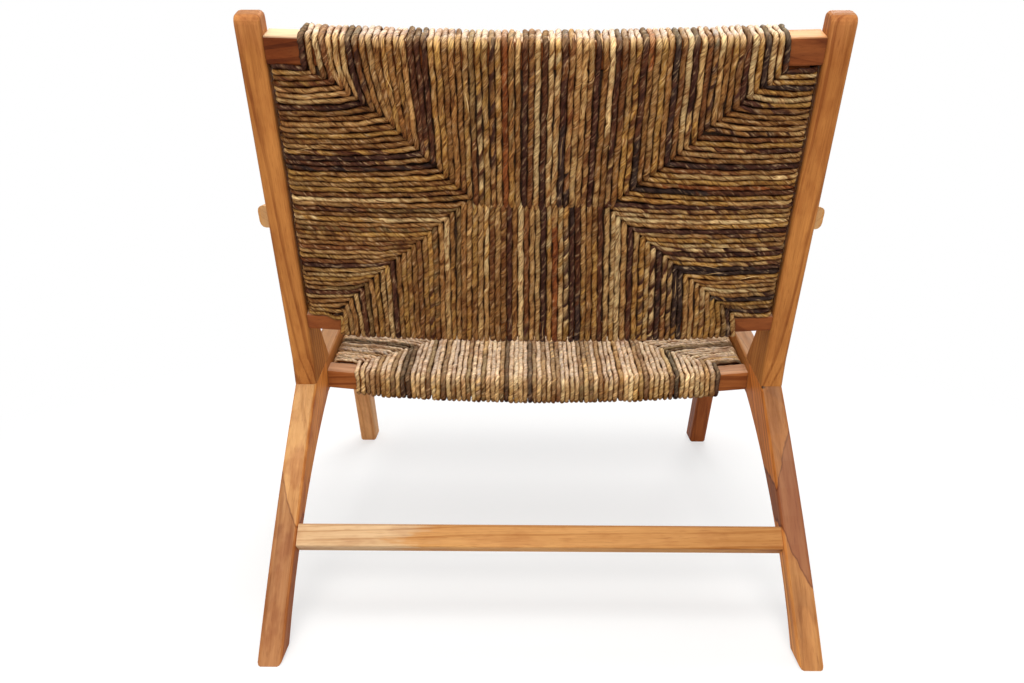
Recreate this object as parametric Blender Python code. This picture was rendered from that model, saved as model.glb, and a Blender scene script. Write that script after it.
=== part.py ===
"""Teak armchair with a rope-woven seat and back.

The chair stands on the floor, faces -Y, and its origin is on the floor under the middle of its length and
width. Two side frames carry everything. Each one is a rear leg, a post, a seat rail, a front leg and an arm.
Rails across the chair join the side frames, and rope is woven round two loose rectangular frames of four
rails each. Both woven frames are dished away from the sitter.

In a side view a point is (ahead, up): metres ahead of the heel of the rear foot, and above the floor.
"""
import math

import bmesh
import bpy
from mathutils import Vector

# Side frames
FRAME_WIDTH = 0.680
CHAIR_DEPTH = 0.785
CHAIR_HEIGHT = 0.752
STOCK = 0.030
EASED_EDGE = 0.005
EASED_STEPS = 3

# Clearances between touching pieces
FIT = 0.0003
MORTISE_END = 0.001

# Rear leg
KNEE_AHEAD = 0.262
KNEE_HEIGHT = 0.2705
REAR_FOOT_LENGTH = 0.0445
REAR_LEG_BULGE = 0.0165
LEG_HEAD_LENGTH = 0.071
LEG_TOE_PULL = 0.126
LEG_TOE_DEGREES = 33.7
LEG_HEAD_PULL = 0.120
LEG_HEAD_DEGREES = 66.0

# Seat rail of a side frame
RAIL_SLOPE_DEGREES = 10.3
RAIL_DEPTH = 0.052
RAIL_REACH = 0.491
RAIL_NOSE_TOP = 0.012
RAIL_NOSE_BOTTOM = 0.020
RAIL_TENON_LENGTH = 0.020
RAIL_TENON_DEPTH = 0.026
RAIL_TENON_DROP = 0.020
TENON_THICKNESS = 0.012

# Back post
RECLINE_DEGREES = 20.0
POST_HEEL_HEIGHT = 0.0415
POST_HEEL_DEGREES = 13.2
POST_TOP_DEPTH = 0.030
POST_FLARE_DEPTH = 0.0502
POST_FOOT_LENGTH = 0.098
POST_FLARE_START = 0.0685
POST_FLARE_PULL = 0.0326
POST_TOP_ROUND = 0.010

# Dowels between post and leg
DOWEL_RADIUS = 0.004
DOWEL_LENGTH = 0.032
DOWEL_REAR_PLACE = 0.018
DOWEL_FRONT_PLACE = 0.056
DOWEL_SIDES = 16

# Front leg
FRONT_FOOT_LENGTH = 0.046
FRONT_LEG_DEGREES = 25.6
LEG_TENON_LENGTH = 0.018
LEG_TENON_WIDTH = 0.024

# Armrest
ARM_TOP = 0.524
ARM_THICKNESS = 0.030
ARM_OVERHANG = 0.024
ARM_REACH = 0.634
ARM_FRONT_GAIN = 0.006
ARM_EASED_EDGE = 0.008
ARM_FRONT_ROUND = 0.022
ARM_REAR_ROUND = 0.012
ARM_TENON_LENGTH = 0.020
ARM_TENON_HEIGHT = 0.014

# Rails across the chair and their dish
DISH = 0.017
CROSS_TENON_LENGTH = 0.015
CROSS_TENON_SHARE = 0.5
CROSS_EASED_EDGE = 0.003
TENON_EDGE = 0.001
CORNER_STEPS = 2
DISH_STEPS = 12

# Back frame: distances down the posts' rear face from BACK_START, and in from that face
BACK_START = 0.0235
BACK_RAIL_HEIGHT = 0.0315
BACK_RAIL_DEPTH = 0.034
BACK_RAIL_RECESS = 0.0015
BACK_OPENING = 0.3355
BACK_LOW_RAIL_HEIGHT = 0.0225

# Seat frame: distances ahead along the side rails' top from the knee, and below that top
SEAT_REAR_START = 0.072
SEAT_RAIL_DROP = 0.0155
SEAT_RAIL_DEPTH = 0.030
SEAT_RAIL_HEIGHT = 0.029
SEAT_OPENING = 0.345

# Side members of the woven frames
STILE_INSET = 0.0115
STILE_WIDTH = 0.027
STILE_DEPTH = 0.024
STILE_TENON_LENGTH = 0.010
STILE_TENON_WIDTH = 0.012

# Rope
ROPE = 0.007
ROPE_TURN = 0.009
ROPE_TURN_STEPS = 3
WOVEN_EDGE = 0.0015
WRAP_GAP = 0.001

# Stretcher between the rear legs
STRETCHER_HEIGHT = 0.1215
STRETCHER_WIDTH = 0.030
STRETCHER_DEPTH = 0.023
STRETCHER_RECESS = 0.0045

# Steps along curves
CURVE_STEPS = 10
ROUND_STEPS = 4
ARM_ROUND_STEPS = 6
SHARP_DEGREES = 35.0

SIDES = (("left", 1.0), ("right", -1.0))
TEAK_ORANGE = (0.47, 0.20, 0.065)
TEAK_TAN = (0.55, 0.28, 0.095)
TEAK_RED = (0.27, 0.095, 0.040)
TEAK_BROWN = (0.36, 0.150, 0.055)
ROPE_TAN = (0.50, 0.36, 0.165)

HALF_WIDTH = FRAME_WIDTH / 2
INNER_FACE = HALF_WIDTH - STOCK
MID_STOCK = HALF_WIDTH - STOCK / 2
STILE_OUTER = INNER_FACE - STILE_INSET
STILE_INNER = STILE_OUTER - STILE_WIDTH
WOVEN_HALF = STILE_INNER - WOVEN_EDGE
LEG_TOE_ANGLE = math.radians(LEG_TOE_DEGREES)
LEG_HEAD_ANGLE = math.radians(LEG_HEAD_DEGREES)
RAIL_SLOPE_ANGLE = math.radians(RAIL_SLOPE_DEGREES)
RECLINE_ANGLE = math.radians(RECLINE_DEGREES)
POST_HEEL_ANGLE = math.radians(POST_HEEL_DEGREES)
FRONT_LEG_ANGLE = math.radians(FRONT_LEG_DEGREES)
SHARP_ANGLE = math.radians(SHARP_DEGREES)


def clear_scene():
    for item in list(bpy.data.objects):
        bpy.data.objects.remove(item, do_unlink=True)


def make_material(name, colour, roughness):
    material = bpy.data.materials.new(name)
    material.use_nodes = True
    shader = material.node_tree.nodes["Principled BSDF"]
    shader.inputs["Base Color"].default_value = (*colour, 1.0)
    shader.inputs["Roughness"].default_value = roughness
    shader.inputs["Metallic"].default_value = 0.0
    return material


# Points of the side view

def step(point, direction, distance):
    return (point[0] + direction[0] * distance, point[1] + direction[1] * distance)


def along(lean):
    """Unit vector that leans ahead by an angle from upright."""
    return (math.sin(lean), math.cos(lean))


KNEE = (KNEE_AHEAD, KNEE_HEIGHT)
RAIL_AHEAD = (math.cos(RAIL_SLOPE_ANGLE), math.sin(RAIL_SLOPE_ANGLE))
RAIL_UP = (-math.sin(RAIL_SLOPE_ANGLE), math.cos(RAIL_SLOPE_ANGLE))
BACK_UP = (-math.sin(RECLINE_ANGLE), math.cos(RECLINE_ANGLE))
BACK_AHEAD = (math.cos(RECLINE_ANGLE), math.sin(RECLINE_ANGLE))
HEEL_TOP = step(KNEE, along(-POST_HEEL_ANGLE), POST_HEEL_HEIGHT)
TOP_ROUND_LOSS = POST_TOP_ROUND * (math.sin(RECLINE_ANGLE) + math.cos(RECLINE_ANGLE) - 1.0)
POST_RISE = CHAIR_HEIGHT + TOP_ROUND_LOSS - POST_TOP_DEPTH * math.sin(RECLINE_ANGLE) - HEEL_TOP[1]
POST_TOP = step(HEEL_TOP, BACK_UP, POST_RISE / math.cos(RECLINE_ANGLE))
POST_TOP_FRONT = step(POST_TOP, BACK_AHEAD, POST_TOP_DEPTH)
FLARE_TOP = step(step(HEEL_TOP, BACK_UP, POST_FLARE_START), BACK_AHEAD, POST_FLARE_DEPTH)
HEAD_FRONT = step(KNEE, RAIL_AHEAD, LEG_HEAD_LENGTH)
HEAD_CORNER = step(HEAD_FRONT, RAIL_UP, -RAIL_DEPTH)


def quadratic(start, control, end, steps):
    points = []
    for index in range(1, steps):
        t = index / steps
        a, b, c = (1 - t) ** 2, 2 * t * (1 - t), t * t
        points.append(tuple(a * start[k] + b * control[k] + c * end[k] for k in (0, 1)))
    return points


def cubic(start, first, second, end, steps):
    points = []
    for index in range(1, steps):
        t = index / steps
        a, b, c, d = (1 - t) ** 3, 3 * t * (1 - t) ** 2, 3 * t * t * (1 - t), t ** 3
        points.append(tuple(a * start[k] + b * first[k] + c * second[k] + d * end[k] for k in (0, 1)))
    return points


def rounded_corner(before, corner, after, radius, steps):
    """Arc that replaces a corner between two straight edges."""
    point = Vector(corner)
    back = (Vector(before) - point).normalized()
    forth = (Vector(after) - point).normalized()
    half_angle = back.angle(forth) / 2
    reach = radius / math.tan(half_angle)
    centre = point + (back + forth).normalized() * (radius / math.sin(half_angle))
    start = point + back * reach - centre
    end = point + forth * reach - centre
    sweep = start.angle(end)
    points = []
    for index in range(steps + 1):
        t = index / steps
        weight_start = math.sin((1 - t) * sweep) / math.sin(sweep)
        weight_end = math.sin(t * sweep) / math.sin(sweep)
        points.append(tuple(centre + start * weight_start + end * weight_end))
    return points


def signed_area(outline):
    total = 0.0
    for index, point in enumerate(outline):
        following = outline[(index + 1) % len(outline)]
        total += point[0] * following[1] - following[0] * point[1]
    return total / 2


def inset_outline(outline, distances):
    """Move each edge of a counter-clockwise outline inward by its own distance."""
    count = len(outline)
    moved = []
    for index in range(count):
        here = Vector(outline[index])
        before = (here - Vector(outline[index - 1])).normalized()
        after = (Vector(outline[(index + 1) % count]) - here).normalized()
        normal_before = Vector((-before.y, before.x))
        normal_after = Vector((-after.y, after.x))
        gap_before = distances[index - 1]
        gap_after = distances[index]
        turn = before.x * after.y - before.y * after.x
        if abs(turn) < 1e-4:
            moved.append(tuple(here + normal_after * max(gap_before, gap_after)))
            continue
        start = here + normal_before * gap_before
        other = here + normal_after * gap_after
        travel = ((other - start).x * after.y - (other - start).y * after.x) / turn
        moved.append(tuple(start + before * travel))
    return moved


# Meshes

def add_object(name, mesh, material=None, parent=None, location=(0.0, 0.0, 0.0)):
    item = bpy.data.objects.new(name, mesh)
    bpy.context.scene.collection.objects.link(item)
    item.location = location
    if parent is not None:
        item.parent = parent
    if material is not None:
        mesh.materials.append(material)
    return item


def loft(name, rings):
    """Closed mesh through rings of equally many points, with a flat face at each end."""
    form = bmesh.new()
    loops = [[form.verts.new(point) for point in ring] for ring in rings]
    count = len(loops[0])
    for first, second in zip(loops, loops[1:]):
        for index in range(count):
            following = (index + 1) % count
            form.faces.new((first[index], first[following], second[following], second[index]))
    form.faces.new(loops[0])
    form.faces.new(loops[-1])
    bmesh.ops.recalc_face_normals(form, faces=form.faces)
    mesh = bpy.data.meshes.new(name)
    form.to_mesh(mesh)
    form.free()
    mesh.shade_smooth()
    mesh.set_sharp_from_angle(angle=SHARP_ANGLE)
    return mesh


def side_to_world(side, x, point):
    return Vector((side * x, CHAIR_DEPTH / 2 - point[0], point[1]))


def eased_rings(outline, joint_edges, thickness, radius):
    """Outline and offset of each ring of a slab whose free edges are eased. Joint edges stay square."""
    if signed_area(outline) < 0:
        raise ValueError("The outline runs clockwise.")
    levels = []
    for index in range(EASED_STEPS + 1):
        angle = math.pi / 2 * index / EASED_STEPS
        inset = radius * (1 - math.sin(angle))
        offset = thickness / 2 - radius + radius * math.cos(angle)
        distances = [0.0 if edge in joint_edges else inset for edge in range(len(outline))]
        levels.append((inset_outline(outline, distances), offset))
    lower = [(ring, -offset) for ring, offset in levels]
    upper = [(ring, offset) for ring, offset in reversed(levels)]
    return lower + upper


def side_slab(name, side, outline, joint_edges=()):
    """Member of a side frame, from its outline in the side view."""
    rings = []
    for ring, offset in eased_rings(outline, joint_edges, STOCK, EASED_EDGE):
        rings.append([side_to_world(side, MID_STOCK + offset, point) for point in ring])
    return loft(name, rings)


def plain_slab(name, side, outline, x_range):
    rings = [[side_to_world(side, x, point) for point in outline] for x in x_range]
    return loft(name, rings)


def make_tool(name, mesh):
    """Helper that is only used to cut or to join."""
    item = add_object(name, mesh)
    item.hide_render = True
    item.display_type = "WIRE"
    return item


def combine(target, tool, operation):
    modifier = target.modifiers.new(operation.lower() + "_" + tool.name, "BOOLEAN")
    modifier.operation = operation
    modifier.solver = "EXACT"
    modifier.object = tool


def rectangle(first, second, direction, up, grow=0.0):
    """Corners of a rectangle that runs from first to second along direction, and rises along up."""
    start = step(step(first, direction, -grow), up, -grow)
    length = (second[0] - first[0]) * direction[0] + (second[1] - first[1]) * direction[1] + 2 * grow
    rise = (second[0] - first[0]) * up[0] + (second[1] - first[1]) * up[1] + 2 * grow
    end = step(start, direction, length)
    return [start, end, step(end, up, rise), step(start, up, rise)]


def tenon_pair(name, side, corners, direction, up, x_middle, thickness):
    """Tenon that joins a member, and the slightly larger tool for its mortise."""
    half = thickness / 2
    first, second = corners
    tenon = plain_slab(name, side, rectangle(first, second, direction, up),
                       (x_middle - half, x_middle + half))
    socket = plain_slab(name + "_socket", side, rectangle(first, second, direction, up, FIT),
                        (x_middle - half - FIT, x_middle + half + FIT))
    return make_tool(name, tenon), make_tool(name + "_socket", socket)


# Outlines of the side frame, each with its joint edges

def rear_leg_outline():
    heel = (0.0, 0.0)
    toe = (REAR_FOOT_LENGTH, 0.0)
    knee = step(KNEE, RAIL_UP, -FIT / 2)
    head_front = step(HEAD_FRONT, RAIL_UP, -FIT / 2)
    chord = Vector(knee) - Vector(heel)
    bulge = Vector((-chord.y, chord.x)).normalized() * REAR_LEG_BULGE
    rear_control = tuple(Vector(heel) + chord / 2 + bulge)
    toe_control = step(toe, along(LEG_TOE_ANGLE), LEG_TOE_PULL)
    head_control = step(HEAD_CORNER, along(LEG_HEAD_ANGLE), -LEG_HEAD_PULL)
    outline = [heel, toe]
    outline += cubic(toe, toe_control, head_control, HEAD_CORNER, CURVE_STEPS)
    corner_edge = len(outline)
    outline += [HEAD_CORNER, head_front, knee]
    outline += quadratic(knee, rear_control, heel, CURVE_STEPS)
    return outline, (corner_edge, corner_edge + 1)


def leg_rear_point(height):
    """Point on the rear edge of the rear leg at a height, and the edge's direction there."""
    outline, joints = rear_leg_outline()
    rear_edge = outline[joints[1] + 1:] + outline[:1]
    for upper, lower in zip(rear_edge, rear_edge[1:]):
        if upper[1] >= height >= lower[1]:
            share = (height - lower[1]) / (upper[1] - lower[1])
            point = (lower[0] + (upper[0] - lower[0]) * share, height)
            direction = (Vector(upper) - Vector(lower)).normalized()
            return point, tuple(direction)
    raise ValueError("The rear leg has no edge at this height.")


def side_rail_outline():
    rear_top = step(HEAD_FRONT, RAIL_AHEAD, FIT)
    rear_bottom = step(HEAD_CORNER, RAIL_AHEAD, FIT)
    front_top = step(KNEE, RAIL_AHEAD, RAIL_REACH)
    front_bottom = step(front_top, RAIL_UP, -RAIL_DEPTH)
    nose = rounded_corner(rear_bottom, front_bottom, front_top, RAIL_NOSE_BOTTOM, ROUND_STEPS)
    nose += rounded_corner(front_bottom, front_top, rear_top, RAIL_NOSE_TOP, ROUND_STEPS)
    outline = [rear_bottom] + nose + [rear_top]
    return outline, (len(outline) - 1,)


def post_outline():
    knee = step(KNEE, RAIL_UP, FIT / 2)
    flare_tip = step(knee, RAIL_AHEAD, POST_FOOT_LENGTH)
    front_direction = (Vector(FLARE_TOP) - Vector(POST_TOP_FRONT)).normalized()
    flare_control = step(FLARE_TOP, tuple(front_direction), POST_FLARE_PULL)
    outline = [knee, flare_tip]
    outline += quadratic(flare_tip, flare_control, FLARE_TOP, CURVE_STEPS)
    outline.append(FLARE_TOP)
    outline += rounded_corner(FLARE_TOP, POST_TOP_FRONT, POST_TOP, POST_TOP_ROUND, ROUND_STEPS)
    outline += rounded_corner(POST_TOP_FRONT, POST_TOP, HEEL_TOP, POST_TOP_ROUND, ROUND_STEPS)
    outline.append(HEEL_TOP)
    return outline, (0,)


def front_leg_outline(grow=0.0):
    slant = math.tan(FRONT_LEG_ANGLE)
    top = ARM_TOP - ARM_THICKNESS - FIT
    toe = (CHAIR_DEPTH + grow, 0.0)
    heel = (CHAIR_DEPTH - FRONT_FOOT_LENGTH - grow, 0.0)
    return [heel, toe, (toe[0] - slant * top, top), (heel[0] - slant * top, top)], (2,)


def post_front_at(height):
    """Distance ahead of the post's front edge at a height above its flare."""
    share = (height - FLARE_TOP[1]) / (POST_TOP_FRONT[1] - FLARE_TOP[1])
    return FLARE_TOP[0] + (POST_TOP_FRONT[0] - FLARE_TOP[0]) * share


# Side frame members

def make_side_frame(name, side, chair, wood):
    members = {}

    def member(part, mesh, material):
        members[part] = add_object(part + "_" + name, mesh, wood[material], chair)

    outline, joints = rear_leg_outline()
    member("rear_leg", side_slab("rear_leg_" + name, side, outline, joints), "tan")
    outline, joints = side_rail_outline()
    member("side_rail", side_slab("side_rail_" + name, side, outline, joints), "orange")
    outline, joints = post_outline()
    member("back_post", side_slab("back_post_" + name, side, outline, joints), "orange")
    outline, joints = front_leg_outline()
    member("front_leg", side_slab("front_leg_" + name, side, outline, joints), "red")
    member("armrest", armrest_mesh("armrest_" + name, side), "orange")
    join_rail_to_leg(name, side, members)
    halve_rail_and_front_leg(name, side, members)
    join_arm(name, side, members)
    add_dowels(name, side, members, chair, wood["tan"])
    return members


def armrest_mesh(name, side):
    """Flat arm, eased all round. It is left too long at the rear, where it is cut to the post."""
    rear = post_front_at(ARM_TOP) - ARM_THICKNESS
    inner = INNER_FACE
    outer = HALF_WIDTH + ARM_OVERHANG
    corners = [(inner, rear), (outer, rear), (outer + ARM_FRONT_GAIN, ARM_REACH), (inner, ARM_REACH)]
    outline = corners[:2]
    outline += rounded_corner(corners[1], corners[2], corners[3], ARM_FRONT_ROUND, ARM_ROUND_STEPS)
    outline += rounded_corner(corners[2], corners[3], corners[0], ARM_FRONT_ROUND, ARM_ROUND_STEPS)
    middle = ARM_TOP - ARM_THICKNESS / 2
    rings = []
    for ring, offset in eased_rings(outline, (0,), ARM_THICKNESS, ARM_EASED_EDGE):
        rings.append([side_to_world(side, x, (ahead, middle + offset)) for x, ahead in ring])
    return loft(name, rings)


def arm_end_mesh(name, side, slope):
    """Space behind the arm. It turns forward at the outer end, to round the arm's rear corner."""
    turn_start = HALF_WIDTH + ARM_OVERHANG - ARM_REAR_ROUND
    stations = [(INNER_FACE - STOCK, 0.0)]
    for index in range(ARM_ROUND_STEPS + 1):
        angle = math.pi / 2 * index / ARM_ROUND_STEPS
        x = turn_start + (ARM_REAR_ROUND + ARM_FRONT_GAIN) * math.sin(angle)
        stations.append((x, ARM_REAR_ROUND * (1 - math.cos(angle))))
    rings = []
    for x, shift in stations:
        rings.append([side_to_world(side, x, step(point, (1.0, 0.0), shift)) for point in slope])
    return loft(name, rings)


def join_rail_to_leg(name, side, members):
    front = step(HEAD_FRONT, RAIL_UP, -RAIL_TENON_DROP)
    first = step(step(front, RAIL_AHEAD, -RAIL_TENON_LENGTH), RAIL_UP, -RAIL_TENON_DEPTH)
    second = step(front, RAIL_AHEAD, MORTISE_END)
    tenon, socket = tenon_pair("rail_tenon_" + name, side, (first, second), RAIL_AHEAD, RAIL_UP,
                               MID_STOCK, TENON_THICKNESS)
    combine(members["side_rail"], tenon, "UNION")
    combine(members["rear_leg"], socket, "DIFFERENCE")


def halve_rail_and_front_leg(name, side, members):
    """Halving joint: the rail keeps its inner half and the leg its outer half."""
    inner_range = (INNER_FACE - STOCK / 2, MID_STOCK + FIT / 2)
    outer_range = (MID_STOCK - FIT / 2, HALF_WIDTH + STOCK / 2)
    rear = step(KNEE, RAIL_AHEAD, LEG_HEAD_LENGTH)
    front = step(KNEE, RAIL_AHEAD, RAIL_REACH + STOCK)
    low_rear = step(rear, RAIL_UP, -RAIL_DEPTH)
    band = rectangle(low_rear, front, RAIL_AHEAD, RAIL_UP, FIT)
    rail_space = plain_slab("rail_halving_" + name, side, band, inner_range)
    leg_space, _ = front_leg_outline(FIT / math.cos(FRONT_LEG_ANGLE))
    leg_tool = plain_slab("leg_halving_" + name, side, leg_space, outer_range)
    combine(members["front_leg"], make_tool("rail_halving_" + name, rail_space), "DIFFERENCE")
    combine(members["side_rail"], make_tool("leg_halving_" + name, leg_tool), "DIFFERENCE")


def join_arm(name, side, members):
    """Cut the arm to the post, tenon it into the post, and tenon the front leg into it."""
    base = step(FLARE_TOP, RAIL_AHEAD, FIT)
    front_direction = (Vector(POST_TOP_FRONT) - Vector(FLARE_TOP)).normalized()
    rise = tuple(front_direction)
    backward = (-rise[1], rise[0])
    top = step(base, rise, CHAIR_HEIGHT)
    slope = [base, top, step(top, backward, CHAIR_HEIGHT), step(base, backward, CHAIR_HEIGHT)]
    post_space = make_tool("arm_end_" + name, arm_end_mesh("arm_end_" + name, side, slope))
    combine(members["armrest"], post_space, "DIFFERENCE")

    middle = ARM_TOP - ARM_THICKNESS / 2
    root = post_front_at(middle)
    first = (root - ARM_TENON_LENGTH, middle - ARM_TENON_HEIGHT / 2)
    second = (root + ARM_TENON_LENGTH, middle + ARM_TENON_HEIGHT / 2)
    tenon, socket = tenon_pair("arm_tenon_" + name, side, (first, second), (1.0, 0.0), (0.0, 1.0),
                               MID_STOCK, TENON_THICKNESS)
    combine(members["armrest"], tenon, "UNION")
    combine(members["back_post"], socket, "DIFFERENCE")

    outline, _ = front_leg_outline()
    top_middle = (outline[2][0] + outline[3][0]) / 2
    first = (top_middle - LEG_TENON_WIDTH / 2, ARM_TOP - ARM_THICKNESS - LEG_TENON_LENGTH / 2)
    second = (top_middle + LEG_TENON_WIDTH / 2, ARM_TOP - ARM_THICKNESS + LEG_TENON_LENGTH)
    tenon, socket = tenon_pair("leg_tenon_" + name, side, (first, second), (1.0, 0.0), (0.0, 1.0),
                               MID_STOCK, TENON_THICKNESS)
    combine(members["front_leg"], tenon, "UNION")
    combine(members["armrest"], socket, "DIFFERENCE")


def dowel_mesh(name, side, place, grow=0.0):
    centre = step(KNEE, RAIL_AHEAD, place)
    rings = []
    for half in (-DOWEL_LENGTH / 2 - grow, DOWEL_LENGTH / 2 + grow):
        ring = []
        for index in range(DOWEL_SIDES):
            angle = 2 * math.pi * index / DOWEL_SIDES
            radius = DOWEL_RADIUS + grow
            across = step(centre, RAIL_AHEAD, radius * math.cos(angle))
            point = step(across, RAIL_UP, half)
            ring.append(side_to_world(side, MID_STOCK + radius * math.sin(angle), point))
        rings.append(ring)
    return loft(name, rings)


def add_dowels(name, side, members, chair, material):
    for label, place in (("rear", DOWEL_REAR_PLACE), ("front", DOWEL_FRONT_PLACE)):
        title = "post_dowel_" + label + "_" + name
        add_object(title, dowel_mesh(title, side, place), material, chair)
        bore = make_tool(title + "_bore", dowel_mesh(title + "_bore", side, place, FIT))
        combine(members["back_post"], bore, "DIFFERENCE")
        combine(members["rear_leg"], bore, "DIFFERENCE")


# Rails across the chair. A frame plane gives a point from x, a distance along it and a height off it.

def dish_at(x):
    share = min(abs(x) / INNER_FACE, 1.0)
    return DISH * (1 - share * share)


def back_plane(x, down, out):
    """out is measured from the posts' rear face, towards the rear."""
    point = step(step(POST_TOP, BACK_UP, -down), BACK_AHEAD, -out)
    return side_to_world(1.0, x, point)


def seat_plane(x, ahead, out):
    """out is measured from the side rails' top, downwards."""
    point = step(step(KNEE, RAIL_AHEAD, ahead), RAIL_UP, -out)
    return side_to_world(1.0, x, point)


def rounded_rectangle(low, high, radius, steps):
    """Points round a rectangle with round corners, from its low and high corners."""
    corners = [(low[0], low[1]), (high[0], low[1]), (high[0], high[1]), (low[0], high[1])]
    points = []
    for index in range(4):
        before, corner, after = corners[index - 1], corners[index], corners[(index + 1) % 4]
        points += rounded_corner(before, corner, after, radius, steps)
    return points


def dish_stations(half):
    return [half * (2 * index / DISH_STEPS - 1) for index in range(DISH_STEPS + 1)]


def tenon_section(low, high):
    """Corners of a tenon in the middle of a section, from the section's corners."""
    margin = (1 - CROSS_TENON_SHARE) / 2
    width, height = high[0] - low[0], high[1] - low[1]
    return ((low[0] + width * margin, low[1] + height * margin),
            (high[0] - width * margin, high[1] - height * margin))


def cross_rail_mesh(name, plane, low, high, tenon_low, tenon_high):
    """Dished rail between the side frames, with a tenon at each end."""
    body = rounded_rectangle(low, high, CROSS_EASED_EDGE, CORNER_STEPS)
    tip = rounded_rectangle(tenon_low, tenon_high, TENON_EDGE, CORNER_STEPS)
    shoulder = INNER_FACE - FIT
    end = INNER_FACE + CROSS_TENON_LENGTH
    rings = [[plane(x, a, b) for a, b in tip] for x in (-end, -shoulder)]
    for x in dish_stations(shoulder):
        rings.append([plane(x, a, b + dish_at(x)) for a, b in body])
    rings += [[plane(x, a, b) for a, b in tip] for x in (shoulder, end)]
    return loft(name, rings)


def box_mesh(name, plane, x_range, a_range, b_range):
    rings = []
    for x in x_range:
        corners = [(a_range[0], b_range[0]), (a_range[1], b_range[0]),
                   (a_range[1], b_range[1]), (a_range[0], b_range[1])]
        rings.append([plane(x, a, b) for a, b in corners])
    return loft(name, rings)


def cut_mortises(name, plane, tenon_low, tenon_high, targets):
    """Sockets for the tenons of a cross rail, one in each side frame."""
    reach = (INNER_FACE - STOCK / 2, INNER_FACE + CROSS_TENON_LENGTH + MORTISE_END)
    for label, side in SIDES:
        x_range = tuple(sorted(side * x for x in reach))
        socket = box_mesh(name + "_socket_" + label, plane, x_range,
                          (tenon_low[0] - FIT, tenon_high[0] + FIT),
                          (tenon_low[1] - FIT, tenon_high[1] + FIT))
        combine(targets[label], make_tool(name + "_socket_" + label, socket), "DIFFERENCE")


def add_cross_rail(name, plane, low, high, material, chair, targets):
    """Rail whose section runs from low to high in its plane, tenoned into both targets."""
    tenon_low, tenon_high = tenon_section(low, high)
    mesh = cross_rail_mesh(name, plane, low, high, tenon_low, tenon_high)
    rail = add_object(name, mesh, material, chair)
    cut_mortises(name, plane, tenon_low, tenon_high, targets)
    return rail


def rail_space_mesh(name, plane, low, high):
    """Room for a dished rail inside the rope, open at both ends."""
    section = rounded_rectangle((low[0] - FIT, low[1] - FIT), (high[0] + FIT, high[1] + FIT),
                                CROSS_EASED_EDGE, CORNER_STEPS)
    rings = []
    for x in dish_stations(INNER_FACE - FIT):
        rings.append([plane(x, a, b + dish_at(x)) for a, b in section])
    return loft(name, rings)


def stile_mesh(name, plane, side, a_range, middle, grow=0.0):
    """Side member of a woven frame. It follows the dish across its width."""
    half = STILE_DEPTH / 2 + grow
    section = rounded_rectangle((STILE_INNER - grow, middle - half), (STILE_OUTER + grow, middle + half),
                                CROSS_EASED_EDGE, CORNER_STEPS)
    rings = []
    for a in a_range:
        rings.append([plane(side * x, a, b + dish_at(x)) for x, b in section])
    return loft(name, rings)


def add_stile(name, plane, side, a_range, middle, material, chair, rails):
    ends = (a_range[0] + FIT, a_range[1] - FIT)
    stile = add_object(name, stile_mesh(name, plane, side, ends, middle), material, chair)
    centre_x = (STILE_INNER + STILE_OUTER) / 2
    centre_b = middle + dish_at(centre_x)
    half = STILE_TENON_WIDTH / 2
    for label, rail, root, direction in (("near", rails[0], a_range[0], -1), ("far", rails[1], a_range[1], 1)):
        tip = root + direction * STILE_TENON_LENGTH
        inside = root - direction * STILE_TENON_LENGTH
        past = tip + direction * MORTISE_END
        x_range = tuple(sorted((side * (centre_x - half), side * (centre_x + half))))
        tenon = box_mesh(name + "_tenon_" + label, plane, x_range, tuple(sorted((tip, inside))),
                         (centre_b - half, centre_b + half))
        combine(stile, make_tool(name + "_tenon_" + label, tenon), "UNION")
        socket_x = (x_range[0] - FIT, x_range[1] + FIT)
        socket = box_mesh(name + "_socket_" + label, plane, socket_x, tuple(sorted((past, inside))),
                          (centre_b - half - FIT, centre_b + half + FIT))
        combine(rail, make_tool(name + "_socket_" + label, socket), "DIFFERENCE")
    return stile


def wrapped_mesh(name, plane, near, far, low, high):
    """Rope laid round the two rails: near and far are its ends, low and high its two surfaces."""
    section = rounded_rectangle((near, low), (far, high), ROPE_TURN, ROPE_TURN_STEPS)
    rings = []
    for x in dish_stations(WOVEN_HALF):
        rings.append([plane(x, a, b + dish_at(x)) for a, b in section])
    return loft(name, rings)


def side_wrap_mesh(name, plane, a_range, low, high):
    """Rope laid round the two stiles, from side to side."""
    outer = STILE_OUTER + ROPE
    flat = outer - ROPE_TURN
    stations = dish_stations(flat)
    turn = [(outer - ROPE_TURN + ROPE_TURN * math.sin(angle), ROPE_TURN * (1 - math.cos(angle)))
            for angle in (math.pi / 2 * index / ROPE_TURN_STEPS for index in range(1, ROPE_TURN_STEPS + 1))]
    section = [(x, low + dish_at(x)) for x in stations]
    section += [(x, low + rise + dish_at(flat)) for x, rise in turn]
    section += [(x, high - rise + dish_at(flat)) for x, rise in reversed(turn)]
    section += [(x, high + dish_at(x)) for x in reversed(stations)]
    section += [(-x, high - rise + dish_at(flat)) for x, rise in turn]
    section += [(-x, low + rise + dish_at(flat)) for x, rise in reversed(turn)]
    rings = [[plane(x, a, b) for x, b in section] for a in a_range]
    return loft(name, rings)


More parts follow.
